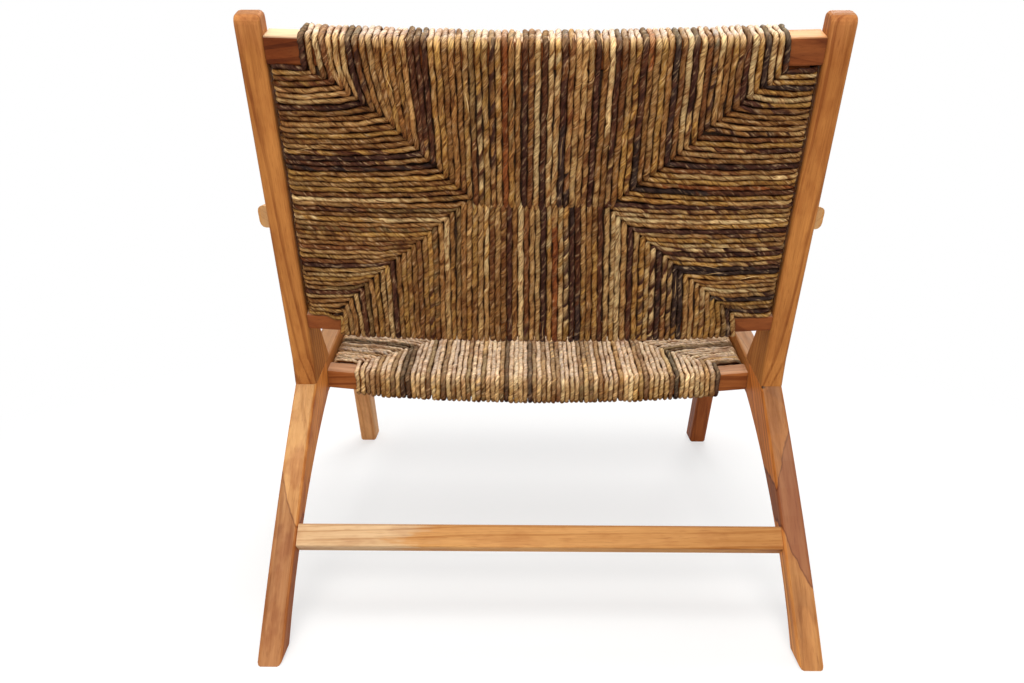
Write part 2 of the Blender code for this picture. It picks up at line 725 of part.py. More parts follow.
def add_woven_frame(name, plane, near_rail, far_rail, rail_names, stile_names, chair, wood, rope, targets):
    """Two dished rails, two stiles and the rope round them. Each rail is (low corner, high corner)."""
    near = add_cross_rail(rail_names[0], plane, *near_rail, wood["orange"], chair, targets)
    far = add_cross_rail(rail_names[1], plane, *far_rail, wood["orange"], chair, targets)
    opening = (near_rail[1][0], far_rail[0][0])
    middle = (near_rail[0][1] + near_rail[1][1]) / 2
    woven = add_object(name, wrapped_mesh(name, plane, near_rail[0][0] - ROPE, far_rail[1][0] + ROPE,
                                          near_rail[0][1] - ROPE, near_rail[1][1] + ROPE), rope, chair)
    half = STILE_DEPTH / 2 + ROPE
    wrap = side_wrap_mesh(name + "_sides", plane, (opening[0] + WRAP_GAP, opening[1] - WRAP_GAP),
                          middle - half, middle + half)
    combine(woven, make_tool(name + "_sides", wrap), "UNION")
    for title, rail in ((rail_names[0], near_rail), (rail_names[1], far_rail)):
        space = make_tool(title + "_space", rail_space_mesh(title + "_space", plane, *rail))
        combine(woven, space, "DIFFERENCE")
    for (label, side), title in zip(SIDES, stile_names):
        add_stile(title, plane, side, opening, middle, wood["brown"], chair, (near, far))
        space = stile_mesh(title + "_space", plane, side, (opening[0] - FIT, opening[1] + FIT), middle, FIT)
        combine(woven, make_tool(title + "_space", space), "DIFFERENCE")
    return woven


def add_back(chair, wood, rope, frames):
    low = BACK_RAIL_RECESS
    surface = (-BACK_RAIL_RECESS - BACK_RAIL_DEPTH, -low)
    top = (BACK_START, BACK_START + BACK_RAIL_HEIGHT)
    bottom = (top[1] + BACK_OPENING, top[1] + BACK_OPENING + BACK_LOW_RAIL_HEIGHT)
    targets = {label: frames[label]["back_post"] for label, _ in SIDES}
    add_woven_frame("woven_back", back_plane,
                    ((top[0], surface[0]), (top[1], surface[1])),
                    ((bottom[0], surface[0]), (bottom[1], surface[1])),
                    ("back_top_rail", "back_bottom_rail"), ("back_stile_left", "back_stile_right"),
                    chair, wood, rope, targets)


def add_seat(chair, wood, rope, frames):
    surface = (SEAT_RAIL_DROP, SEAT_RAIL_DROP + SEAT_RAIL_HEIGHT)
    rear = (SEAT_REAR_START, SEAT_REAR_START + SEAT_RAIL_DEPTH)
    front = (rear[1] + SEAT_OPENING, rear[1] + SEAT_OPENING + SEAT_RAIL_DEPTH)
    targets = {label: frames[label]["side_rail"] for label, _ in SIDES}
    add_woven_frame("woven_seat", seat_plane,
                    ((rear[0], surface[0]), (rear[1], surface[1])),
                    ((front[0], surface[0]), (front[1], surface[1])),
                    ("seat_rear_rail", "seat_front_rail"), ("seat_side_bar_left", "seat_side_bar_right"),
                    chair, wood, rope, targets)


def add_stretcher(chair, wood, frames):
    """Straight bar between the rear legs, turned to lie in line with them."""
    edge, rise = leg_rear_point(STRETCHER_HEIGHT)
    ahead = (rise[1], -rise[0])
    corner = step(edge, ahead, STRETCHER_RECESS)

    def leg_plane(x, up, deep):
        return side_to_world(1.0, x, step(step(corner, rise, up), ahead, deep))

    half = STRETCHER_WIDTH / 2
    low, high = (-half, 0.0), (half, STRETCHER_DEPTH)
    body = rounded_rectangle(low, high, CROSS_EASED_EDGE, CORNER_STEPS)
    tenon_low, tenon_high = tenon_section(low, high)
    tip = rounded_rectangle(tenon_low, tenon_high, TENON_EDGE, CORNER_STEPS)
    shoulder = INNER_FACE - FIT
    end = INNER_FACE + CROSS_TENON_LENGTH
    rings = []
    for x, section in ((-end, tip), (-shoulder, tip), (-shoulder, body), (shoulder, body),
                       (shoulder, tip), (end, tip)):
        rings.append([leg_plane(x, a, b) for a, b in section])
    add_object("rear_stretcher", loft("rear_stretcher", rings), wood["tan"], chair)
    targets = {label: frames[label]["rear_leg"] for label, _ in SIDES}
    cut_mortises("rear_stretcher", leg_plane, tenon_low, tenon_high, targets)


def build_chair():
    clear_scene()
    wood = {
        "orange": make_material("teak_orange", TEAK_ORANGE, 0.5),
        "tan": make_material("teak_tan", TEAK_TAN, 0.5),
        "red": make_material("teak_red", TEAK_RED, 0.5),
        "brown": make_material("teak_brown", TEAK_BROWN, 0.55),
    }
    rope = make_material("fibre_rope", ROPE_TAN, 0.85)
    chair = bpy.data.objects.new("armchair", None)
    bpy.context.scene.collection.objects.link(chair)
    frames = {}
    for name, side in SIDES:
        frames[name] = make_side_frame(name, side, chair, wood)
    add_stretcher(chair, wood, frames)
    add_back(chair, wood, rope, frames)
    add_seat(chair, wood, rope, frames)


build_chair()
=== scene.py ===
import math

import bpy
import numpy as np
from mathutils import Matrix, Vector


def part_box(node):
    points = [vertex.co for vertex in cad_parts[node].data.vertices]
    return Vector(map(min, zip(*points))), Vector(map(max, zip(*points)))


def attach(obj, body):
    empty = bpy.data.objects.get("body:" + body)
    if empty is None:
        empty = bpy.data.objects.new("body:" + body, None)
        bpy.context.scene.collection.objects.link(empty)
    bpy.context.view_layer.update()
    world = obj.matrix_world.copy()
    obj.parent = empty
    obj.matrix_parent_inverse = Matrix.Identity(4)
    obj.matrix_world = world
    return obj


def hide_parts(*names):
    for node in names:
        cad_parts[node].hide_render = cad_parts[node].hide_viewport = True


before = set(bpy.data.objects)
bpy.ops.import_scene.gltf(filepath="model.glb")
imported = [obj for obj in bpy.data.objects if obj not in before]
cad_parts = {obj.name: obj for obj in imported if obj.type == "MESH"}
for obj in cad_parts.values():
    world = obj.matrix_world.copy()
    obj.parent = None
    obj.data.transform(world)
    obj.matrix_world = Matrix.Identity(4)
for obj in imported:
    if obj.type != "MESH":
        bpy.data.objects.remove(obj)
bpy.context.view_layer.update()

# The model's own planes, as in the part's source: a point is (metres ahead of the rear heel, metres up)
CHAIR_DEPTH = 0.785
KNEE = (0.262, 0.2705)
POST_TOP = (0.094686, 0.744556)
RAIL_SLOPE = math.radians(10.3)
RECLINE = math.radians(20.0)
FRONT_RAKE = math.radians(25.6)
INNER_FACE = 0.310
DISH = 0.017
STILE_OUTER = 0.2985
STILE_HALF_DEPTH = 0.012

RAIL_AHEAD = (math.cos(RAIL_SLOPE), math.sin(RAIL_SLOPE))
RAIL_UP = (-math.sin(RAIL_SLOPE), math.cos(RAIL_SLOPE))
BACK_UP = (-math.sin(RECLINE), math.cos(RECLINE))
BACK_AHEAD = (math.cos(RECLINE), math.sin(RECLINE))

# Rope, with lengths in metres. The sides next to angle 0 are narrow, as the leaf's edge makes a step there.
ROPE_RADIUS = 0.0037
ROPE_SLACK = 0.0021
RING_STEP = 0.0022
SIDE_ANGLES = np.radians([0, 30, 68, 106, 144, 180, 216, 254, 292, 330])
ROPE_SIDES = len(SIDE_ANGLES)
CORNER_STRANDS = 25
MIDDLE_STRANDS = {-1: 24, 1: 23}
RAIL_BEND = 0.0066
STILE_BEND = 0.0076
FACE_BEND = 0.03
BEND_STEPS = 6
CROSSING_JITTER = 0.0002
TURN_JITTER = 0.0005
LEAVES = 16
LEAF_LENGTHS = (0.06, 0.26)
STRAY_CHANCE = 0.12
TWO_TONE_CHANCE = 0.35
DARK_EDGE_CHANCE = 0.12
FIBRE_CHANCE = 0.45
FIBRE_RADIUS = 0.00034
FIBRE_SIDES = 4
FILLING_REACH = 0.268
SAG_REACH = 0.27
# A panel's core: half its width, how far it reaches past the rails' inner edges, and half its depth
CORE_REACH = 0.285
CORE_OVERLAP = 0.012
CORE_HALF_DEPTH = 0.004

# How a corner was woven. Its first and last strand cross the rail at x and the stile at a, in metres.
# A turn lies nearer the chair's middle than its rail crossing by the fan, and nearer the near rail than
# its stile crossing by the tilt, both in millimetres at the shares of the corner given here.
SHARES = (0.0, 0.12, 0.42, 0.75, 1.0)
BACK_CORNERS = {
    (1, -1): {"rail": (0.2661, 0.0867), "stile": (0.0560, 0.2189),
              "fan": (0.0, 7.5, 13.0, 5.0, 1.0), "tilt": (-1.0, 6.5, 10.0, 10.5, 10.5)},
    (-1, -1): {"rail": (0.2646, 0.0956), "stile": (0.0595, 0.2225),
               "fan": (-1.5, -2.0, 0.0, 0.0, 3.0), "tilt": (0.0, 5.0, 9.0, 9.5, 15.0)},
    (1, 1): {"rail": (0.2625, 0.0991), "stile": (0.3868, 0.2240),
             "fan": (0.5, -3.5, 0.5, 3.5, 5.5), "tilt": (-3.0, 6.5, 11.0, 6.0, 6.0)},
    (-1, 1): {"rail": (0.2590, 0.0790), "stile": (0.3868, 0.2265),
              "fan": (7.0, 5.0, 6.0, 7.0, 8.0), "tilt": (5.0, 4.7, 6.0, 9.5, 11.0)},
}
SEAT_FAN = (0.0, 3.0, 4.0, 2.0, 1.0)
SEAT_CORNERS = {
    (side, end): {"rail": (0.2655, 0.0870), "stile": ((0.1055, 0.2705) if end < 0 else (0.4435, 0.2785)),
                  "fan": SEAT_FAN, "tilt": tuple(-end * value for value in SEAT_FAN)}
    for side in (1, -1) for end in (-1, 1)
}

# Woven panels, in metres. near and far are the two rails' edges along the panel, faces the levels of its two
# sides, and seam is where the middle strands meet. lay, the length of one twist, and ply, how oval a strand
# is, are drawn between two values. bleach is the strongest sun bleaching with its painted highlight, sky the
# upward share of the outward direction at which it starts and is full, sag the dip of the near rail's rope
# in its middle, and swell a factor on the rope's radius.
PANELS = {
    "back": {
        "origin": POST_TOP, "along": (-BACK_UP[0], -BACK_UP[1]), "out": (-BACK_AHEAD[0], -BACK_AHEAD[1]),
        "near": (0.0235, 0.0550), "far": (0.3905, 0.4130), "faces": (-0.0355, -0.0015),
        "corners": BACK_CORNERS, "seam": 0.2195, "lay": (0.018, 0.042), "ply": (0.01, 0.05), "seed": 11,
        "bleach_and_highlight": 1.0, "sky": (0.30, 0.80), "sag": 0.0032, "swell": 1.0,
    },
    "seat": {
        "origin": KNEE, "along": RAIL_AHEAD, "out": (-RAIL_UP[0], -RAIL_UP[1]),
        "near": (0.0720, 0.1020), "far": (0.4470, 0.4770), "faces": (0.0155, 0.0445),
        "corners": SEAT_CORNERS, "seam": 0.2745, "lay": (0.012, 0.024), "ply": (0.03, 0.09), "seed": 23,
        "bleach_and_highlight": 0.84, "sky": (-0.60, 0.70), "sag": 0.0, "swell": 1.05,
    },
}

# Leaf tones
SRGB = {
    "straw": "DABB84", "sand": "C8A269", "tan": "B48A54", "gold": "B68A49", "honey": "996D3C",
    "brown": "7E502C", "olive": "85673D", "umber": "603922", "purple": "4F2F22", "slate": "423029",
    "rust": "96572C",
}
FAMILIES = {
    "plain": ("sand", "sand", "tan", "tan", "tan", "gold", "gold", "gold", "honey", "honey", "straw"),
    "light": ("straw", "sand", "sand", "tan", "gold"),
    "golden": ("tan", "gold", "gold", "honey", "honey"),
    "brown": ("honey", "brown", "brown", "honey", "olive"),
    "dark": ("purple", "purple", "umber", "slate"),
    "rust": ("rust", "rust", "honey"),
}
# How much of the sun bleaching and its painted highlight a family takes
BLEACH_AND_HIGHLIGHT_SHARE = {"plain": 1.0, "light": 1.0, "golden": 1.0, "brown": 0.5, "dark": 0.28, "rust": 0.6}
# Strands that stand out, counted from each corner's own outer edge, and along the middle from the right
CORNER_TONES = {
    ("back", 1, -1): {"dark": (0, 7, 16, 17, 18), "brown": (3, 8, 23), "light": (1, 2, 5, 6, 24),
                      "golden": (9, 10, 11, 12, 13, 14, 15, 19, 20, 21, 22)},
    ("back", -1, -1): {"dark": (0, 3, 6, 14, 17, 22), "brown": (12, 16, 18), "rust": (21,),
                       "light": (1, 2, 4, 5, 11, 13, 15, 19, 20, 23, 24)},
    ("back", 1, 1): {"dark": (5, 11), "brown": (6, 12, 15, 16, 19, 23), "light": (1, 4, 9, 21),
                     "golden": (7, 8, 13, 14, 17, 18, 20, 22, 24)},
    ("back", -1, 1): {"dark": (1, 4, 10, 11, 14, 15, 19, 24), "brown": (2,),
                      "light": (3, 6, 9, 12, 21, 22, 23)},
    ("seat", 1, -1): {"dark": (9, 10), "brown": (4, 7, 14, 17, 22), "light": (1, 2, 5, 12, 20)},
    ("seat", -1, -1): {"dark": (0, 8), "brown": (2, 9, 14, 15, 19, 23), "light": (4, 5, 6, 12, 13, 18, 21)},
    ("seat", 1, 1): {"dark": (4, 12), "brown": (13, 20), "light": (2, 8, 17)},
    ("seat", -1, 1): {"dark": (6, 15), "brown": (7, 19), "light": (3, 11, 22)},
}
MIDDLE_TONES = {
    ("back", -1): {"dark": (15, 12, 9, 8, 4, 1), "brown": (23, 20, 17, 14, 0), "rust": (18,),
                   "light": (21, 19, 13, 11, 6, 3)},
    ("back", 1): {"dark": (3, 4, 9, 15, 16), "brown": (12, 18), "rust": (7,), "light": (1, 6, 11, 13, 20)},
    ("seat", -1): {"dark": (13, 18), "brown": (0, 1, 2, 7, 8, 10, 12, 19, 23),
                   "light": (3, 5, 9, 11, 15, 16, 20, 21, 22)},
    ("seat", 1): {"dark": (5, 14), "brown": (13, 18), "light": (2, 9, 20)},
}


def linear(code):
    values = [int(code[k:k + 2], 16) / 255 for k in (0, 2, 4)]
    return np.array([v / 12.92 if v <= 0.04045 else ((v + 0.055) / 1.055) ** 2.4 for v in values])


LIFT = 1.06
TONES = {name: linear(code) * LIFT for name, code in SRGB.items()}


# Camera, floor and lights. The camera is the one that was fitted to the photo's edges.

CAMERA_PLACE = (0.0242, 1.3375, 0.6642)
CAMERA_YAW = math.radians(-0.583)
CAMERA_PITCH = math.radians(15.306)
CAMERA_ROLL = math.radians(0.1)
FOCAL_PIXELS = 909.3
PHOTO_WIDTH = 1024
SENSOR_WIDTH = 36.0
AMBIENT = (1.0, 0.98, 0.95, 1.0)
AMBIENT_STRENGTH = 0.35
WHITE = (1.0, 1.0, 1.0)
WARM_WHITE = (1.0, 0.985, 0.96)
# Name, place, aim, size, watts and colour
LIGHTS = (
    ("key", (0.1, 3.25, 2.3), (0, 0, 0.40), (2.0, 1.6), 100, WARM_WHITE),
    ("top", (0.3, 0.3, 4.4), (0, 0, 0.35), (2.6, 2.6), 105, WARM_WHITE),
    ("front_fill", (-0.8, -2.5, 2.8), (0, 0, 0.3), (2.0, 1.6), 58, WHITE),
)
# The floor's half width, its grey for the light and for the camera, and how it fades to white further out
FLOOR_REACH = 14.0
FLOOR_LIT = 0.55
FLOOR_SEEN = 0.95
FADE_START = 0.5
FADE_END = 1.2
FADE_LEAST = 0.60


def make_camera():
    level = math.cos(CAMERA_PITCH)
    ahead = Vector((-math.sin(CAMERA_YAW) * level, -math.cos(CAMERA_YAW) * level, -math.sin(CAMERA_PITCH)))
    right = ahead.cross(Vector((0, 0, 1))).normalized()
    up = right.cross(ahead)
    rolled = right * math.cos(CAMERA_ROLL) + up * math.sin(CAMERA_ROLL)
    top = up * math.cos(CAMERA_ROLL) - right * math.sin(CAMERA_ROLL)
    data = bpy.data.cameras.new("camera")
    data.sensor_width = SENSOR_WIDTH
    data.lens = FOCAL_PIXELS / PHOTO_WIDTH * SENSOR_WIDTH
    camera = bpy.data.objects.new("camera", data)
    bpy.context.scene.collection.objects.link(camera)
    rotation = Matrix((rolled, top, -ahead)).transposed()
    camera.matrix_world = Matrix.Translation(CAMERA_PLACE) @ rotation.to_4x4()
    bpy.context.scene.camera = camera


def add_light(name, place, aim, size, power, colour):
    data = bpy.data.lights.new(name, "AREA")
    data.shape = "RECTANGLE"
    data.size, data.size_y = size
    data.energy = power
    data.color = colour
    light = bpy.data.objects.new(name, data)
    bpy.context.scene.collection.objects.link(light)
    light.location = place
    light.rotation_mode = "QUATERNION"
    light.rotation_quaternion = (Vector(aim) - Vector(place)).to_track_quat("-Z", "Y")


def background_rays(nodes, links):
    """1 for the rays that should see a plain white background, and 0 for the rays that carry light."""
    path = nodes.new("ShaderNodeLightPath")
    total = path.outputs["Is Camera Ray"]
    for output in ("Is Glossy Ray", "Is Transmission Ray"):
        either = nodes.new("ShaderNodeMath")
        either.operation = "MAXIMUM"
        links.new(total, either.inputs[0])
        links.new(path.outputs[output], either.inputs[1])
        total = either.outputs[0]
    return total


def make_studio():
    scene = bpy.context.scene
    scene.view_settings.view_transform = "Standard"
    world = bpy.data.worlds.new("studio")
    scene.world = world
    world.use_nodes = True
    nodes, links = world.node_tree.nodes, world.node_tree.links
    nodes.clear()
    output = nodes.new("ShaderNodeOutputWorld")
    mix = nodes.new("ShaderNodeMixShader")
    ambient = nodes.new("ShaderNodeBackground")
    ambient.inputs["Color"].default_value = AMBIENT
    ambient.inputs["Strength"].default_value = AMBIENT_STRENGTH
    white = nodes.new("ShaderNodeBackground")
    white.inputs["Color"].default_value = (*WHITE, 1.0)
    white.inputs["Strength"].default_value = 1.0
    links.new(background_rays(nodes, links), mix.inputs["Fac"])
    links.new(ambient.outputs[0], mix.inputs[1])
    links.new(white.outputs[0], mix.inputs[2])
    links.new(mix.outputs[0], output.inputs["Surface"])
    for light in LIGHTS:
        add_light(*light)


def make_floor():
    """Pale floor that keeps the chair's soft shadow near it and fades to the white background further out."""
    material = bpy.data.materials.new("floor_pale")
    material.use_nodes = True
    nodes, links = material.node_tree.nodes, material.node_tree.links
    shader = nodes["Principled BSDF"]
    seen = nodes.new("ShaderNodeMapRange")
    seen.inputs["To Min"].default_value = FLOOR_LIT
    seen.inputs["To Max"].default_value = FLOOR_SEEN
    background = background_rays(nodes, links)
    links.new(background, seen.inputs["Value"])
    links.new(seen.outputs[0], shader.inputs["Base Color"])
    shader.inputs["Roughness"].default_value = 0.9
    shader.inputs["Specular IOR Level"].default_value = 0.0
    white = nodes.new("ShaderNodeEmission")
    white.inputs["Strength"].default_value = 1.0
    place = nodes.new("ShaderNodeTexCoord")
    away = nodes.new("ShaderNodeVectorMath")
    away.operation = "LENGTH"
    links.new(place.outputs["Object"], away.inputs[0])
    fade = nodes.new("ShaderNodeMapRange")
    fade.interpolation_type = "SMOOTHSTEP"
    fade.inputs["From Min"].default_value = FADE_START
    fade.inputs["From Max"].default_value = FADE_END
    fade.inputs["To Min"].default_value = FADE_LEAST
    links.new(away.outputs["Value"], fade.inputs["Value"])
    share = nodes.new("ShaderNodeMath")
    share.operation = "MULTIPLY"
    links.new(fade.outputs[0], share.inputs[0])
    links.new(background, share.inputs[1])
    mix = nodes.new("ShaderNodeMixShader")
    links.new(share.outputs[0], mix.inputs["Fac"])
    links.new(shader.outputs[0], mix.inputs[1])
    links.new(white.outputs[0], mix.inputs[2])
    links.new(mix.outputs[0], nodes["Material Output"].inputs["Surface"])
    mesh = bpy.data.meshes.new("floor")
    corners = [(x * FLOOR_REACH, y * FLOOR_REACH, 0) for x, y in ((-1, -1), (1, -1), (1, 1), (-1, 1))]
    mesh.from_pydata(corners, [], [(0, 1, 2, 3)])
    mesh.materials.append(material)
    floor = bpy.data.objects.new("floor", mesh)
    bpy.context.scene.collection.objects.link(floor)


# Materials

class Nodes:
    """Short calls for building a material's node tree."""

    def __init__(self, name):
        self.material = bpy.data.materials.new(name)
        self.material.use_nodes = True
        self.tree = self.material.node_tree
        self.shader = self.tree.nodes["Principled BSDF"]

    def add(self, kind, inputs=None, **settings):
        node = self.tree.nodes.new(kind)
        for key, value in settings.items():
            setattr(node, key, value)
        for key, value in (inputs or {}).items():
            self.feed(node.inputs[key], value)
        return node

    def feed(self, socket, value):
        if isinstance(value, bpy.types.NodeSocket):
            self.tree.links.new(value, socket)
        else:
            socket.default_value = value

    def math(self, operation, first, second=0.0, clamp=False):
        node = self.add("ShaderNodeMath", {0: first, 1: second}, operation=operation, use_clamp=clamp)
        return node.outputs[0]

    def total(self, *values):
        result = values[0]
        for value in values[1:]:
            result = self.math("ADD", result, value)
        return result

    def noise(self, vector, scale, detail=2.0, roughness=0.5, output="Fac"):
        node = self.add("ShaderNodeTexNoise", {"Vector": vector, "Scale": scale, "Detail": detail,
                                               "Roughness": roughness})
        return node.outputs[output]

    def line_noise(self, value, scale, detail=2.0, roughness=0.5):
        node = self.add("ShaderNodeTexNoise", noise_dimensions="1D")
        for key, setting in (("W", value), ("Scale", scale), ("Detail", detail), ("Roughness", roughness)):
            self.feed(node.inputs[key], setting)
        return node.outputs["Fac"]

    def vector(self, operation, first, second=(0.0, 0.0, 0.0)):
        return self.add("ShaderNodeVectorMath", {0: first, 1: second}, operation=operation)

    def scaled(self, vector, scale):
        return self.vector("MULTIPLY", vector, scale).outputs[0]

    def ramp(self, value, stops):
        node = self.add("ShaderNodeValToRGB", {"Fac": value})
        elements = node.color_ramp.elements
        while len(elements) < len(stops):
            elements.new(0.5)
        for element, (position, colour) in zip(elements, stops):
            element.position = position
            element.color = (*colour, 1.0)
        return node.outputs["Color"]

    def mix(self, kind, factor, first, second):
        node = self.add("ShaderNodeMix", data_type="RGBA", blend_type=kind)
        self.feed(node.inputs[0], factor)
        self.feed(node.inputs[6], first)
        self.feed(node.inputs[7], second)
        return node.outputs[2]

    def range(self, value, low, high, new_low, new_high, smooth=False):
        node = self.add("ShaderNodeMapRange", {"Value": value, "From Min": low, "From Max": high,
                                               "To Min": new_low, "To Max": new_high})
        if smooth:
            node.interpolation_type = "SMOOTHSTEP"
        return node.outputs[0]

    def tinted(self, kind, colour, value, span, amounts, tint):
        """The colour under a tint, whose amount goes from the first of amounts to the second through span."""
        return self.mix(kind, self.range(value, *span, *amounts, smooth=True), colour, (*tint, 1.0))

    def grey(self, value):
        return self.add("ShaderNodeCombineColor", {0: value, 1: value, 2: value}).outputs[0]


# Teak. The lean of the rings' axis is in radians.
GRAIN_LEAN = 0.025
WOOD_SPECULAR = 0.08
BLOTCH_TINT = (0.66, 0.48, 0.40)
HEART = (0.235, 0.072, 0.031)
HEART_RIM = (0.45, 0.30, 0.24)
PORE_TINT = (0.36, 0.20, 0.12)
KNOT_TONE = (0.055, 0.022, 0.012)
# Tone of sun bleaching and wear on upward faces, which also paints the reflection of the light from above
WORN_AND_LIT_TONE = (0.80, 0.60, 0.40)
END_TONE = (0.60, 0.40, 0.21)


def teak(name, centre, look):
    """Oiled teak. Its rings run round an axis along the grain, which lies beside the piece's centre."""
    dark, light = look["tones"]
    n = Nodes(name)
    coordinates = n.add("ShaderNodeTexCoord").outputs
    place, normal = coordinates["Object"], coordinates["Normal"]
    turn = Vector(look["grain"]).rotation_difference(Vector((0, 0, 1)))
    turn = Matrix.Rotation(GRAIN_LEAN, 3, "X") @ turn.to_matrix()
    shift = Vector(look["pith"]) - turn @ Vector(centre)
    local = n.add("ShaderNodeMapping", {"Vector": place, "Rotation": turn.to_euler()[:],
                                        "Location": shift[:]}).outputs[0]

    def stretched(share):
        return n.scaled(local, (1.0, 1.0, share))

    def along(direction):
        return n.vector("DOT_PRODUCT", place, direction).outputs["Value"]

    bend = n.noise(stretched(0.16), 13.0, 2.0, 0.5, "Color")
    bend = n.scaled(n.vector("SUBTRACT", bend, (0.5, 0.5, 0.5)).outputs[0], (0.020, 0.020, 0.0))
    across = n.scaled(n.vector("ADD", local, bend).outputs[0], (1.0, 1.0, 0.0))
    radius = n.vector("LENGTH", across).outputs["Value"]
    knot = look.get("knot")
    if knot:
        away = n.vector("DISTANCE", place, knot["place"]).outputs["Value"]
        radius = n.math("ADD", radius, n.range(away, 0.0, knot["reach"], 0.010, 0.0, smooth=True))
    rings = n.range(n.line_noise(radius, 210.0, 2.5, 0.6), 0.50, 0.68, 0.0, 1.0, smooth=True)
    fibres = n.noise(stretched(0.022), 950.0, 3.0, 0.65)
    streaks = n.noise(stretched(0.035), 150.0, 3.0, 0.6)
    broad = n.noise(stretched(0.22), 26.0, 2.0, 0.5)
    tone = n.total(n.math("MULTIPLY", streaks, 0.70), n.math("MULTIPLY", broad, 0.75),
                   n.math("MULTIPLY", fibres, 0.35), -0.40)
    tone = n.math("SUBTRACT", tone, n.math("MULTIPLY", rings, look.get("figure", 0.30)))
    middle = tuple(a * 0.45 + b * 0.55 for a, b in zip(dark, light))
    colour = n.ramp(tone, ((0.12, dark), (0.45, middle), (0.78, light)))
    blotch = n.noise(stretched(0.45), 42.0, 3.0, 0.6)
    colour = n.tinted("MULTIPLY", colour, blotch, (0.46, 0.66), (0.0, look.get("blotch", 0.35)), BLOTCH_TINT)
    ragged = n.math("SUBTRACT", n.math("ADD", blotch, streaks), 1.0)
    ragged = n.math("MULTIPLY", ragged, look.get("ragged", 0.05))
    for direction, none_at, full_at, tint in look.get("washes", ()):
        edge = n.math("ADD", along(direction), ragged)
        colour = n.tinted("MULTIPLY", colour, edge, (none_at, full_at), (0.0, 1.0), tint)
    # Painted light: faces turned sideways take the flank tint, which stands in for light bouncing onto the
    # legs' sides.
    if "painted_side_light" in look:
        sideways = n.math("ABSOLUTE", n.add("ShaderNodeSeparateXYZ", {0: normal}).outputs["X"])
        colour = n.tinted("MULTIPLY", colour, sideways, (0.55, 0.92), (0.0, 1.0), look["painted_side_light"])
    if "heart" in look:
        wave = n.math("MULTIPLY", n.math("SUBTRACT", blotch, 0.5), 0.014)
        depths = [n.math("ADD", n.math("SUBTRACT", along(direction), offset), wave)
                  for direction, offset in look["heart"]]
        inside = depths[0]
        for depth in depths[1:]:
            inside = n.math("MINIMUM", inside, depth)
        core = n.math("MULTIPLY", n.range(inside, -0.0006, 0.0014, 0.0, 1.0, smooth=True),
                      n.range(streaks, 0.25, 0.70, 1.0, 0.62))
        colour = n.mix(look.get("heart_kind", "MIX"), core, colour, (*look.get("heart_tone", HEART), 1.0))
        from_rim = n.math("ABSOLUTE", n.math("SUBTRACT", inside, 0.0012))
        colour = n.tinted("MULTIPLY", colour, from_rim, (0.0, 0.0016), (0.75, 0.0), HEART_RIM)
    pores = n.range(n.noise(stretched(0.03), 1400.0, 1.0, 0.5), 0.60, 0.72, 0.0, 1.0)
    colour = n.mix("MULTIPLY", n.math("MULTIPLY", pores, 0.35), colour, (*PORE_TINT, 1.0))
    if knot:
        dead = n.range(away, knot["reach"] * 0.12, knot["reach"] * 0.55, 1.0, 0.0, smooth=True)
        colour = n.mix("MIX", dead, colour, (*KNOT_TONE, 1.0))
    # Upward faces turn towards the worn tone: sun bleaching and wear, together with painted light, as the
    # tone stands in for the bright reflection of the light from above.
    facing = n.add("ShaderNodeSeparateXYZ", {0: normal}).outputs["Z"]
    worn_and_lit = n.math("MULTIPLY", n.range(facing, 0.55, 0.95, 0.0, look.get("bleach_and_highlight", 0.30), smooth=True),
                  n.range(streaks, 0.25, 0.60, 0.45, 1.0))
    pale = (*look.get("worn_and_lit", WORN_AND_LIT_TONE), 1.0)
    if "worn_and_lit_there" in look:
        direction, none_at, full_at, tone_there = look["worn_and_lit_there"]
        pale = n.mix("MIX", n.range(along(direction), none_at, full_at, 0.0, 1.0), pale, (*tone_there, 1.0))
    colour = n.mix("MIX", worn_and_lit, colour, pale)
    ends = n.math("ABSOLUTE", n.vector("DOT_PRODUCT", normal, look["grain"]).outputs["Value"])
    colour = n.tinted("MIX", colour, ends, (0.80, 0.97), (0.0, 0.55), look.get("end", END_TONE))
    n.feed(n.shader.inputs["Base Color"], colour)
    n.feed(n.shader.inputs["Roughness"], n.range(fibres, 0.3, 0.7, 0.46, 0.62))
    n.shader.inputs["Specular IOR Level"].default_value = WOOD_SPECULAR
    height = n.math("SUBTRACT", n.math("MULTIPLY", fibres, 0.5), n.math("MULTIPLY", pores, 0.8))
    bump = n.add("ShaderNodeBump", {"Height": height, "Strength": 0.30, "Distance": 0.0004})
    n.feed(n.shader.inputs["Normal"], bump.outputs[0])
    return n.material


# Twisted leaf
ROPE_SPECULAR = 0.09
PALE_PATCH = (0.68, 0.47, 0.26)
DARK_PATCH = (0.42, 0.26, 0.18)
SCORCH_TINT = (0.40, 0.25, 0.17)
# Painted shade for faces turned down, and for faces turned up where the lamps light them most
UNDERSIDE_SHADE = (0.62, 0.44, 0.34)
UPPER_SHADE = (0.88, 0.84, 0.78)
# Cream tones of sun bleaching, which also paint the highlight of the light from above on upward faces
BLEACHED_AND_HIGHLIGHT = ((0.30, (1.0, 0.80, 0.44)), (0.85, (1.0, 0.93, 0.84)))
STAIN_TINT = (0.56, 0.38, 0.27)
# Painted shade in the leaf's crease, in the grooves between plies and in the valleys between strands
CREASE_SHADE = (0.26, 0.13, 0.08)
PLY_GROOVE_SHADE = (0.40, 0.24, 0.16)
VALLEY_SHADE = (0.25, 0.085, 0.018)
# The packed leaf's tones, painted as dark as the shade deep between the strands
PACKED_SHADE_TONES = ((0.3, (0.030, 0.014, 0.008)), (0.7, (0.120, 0.058, 0.026)))


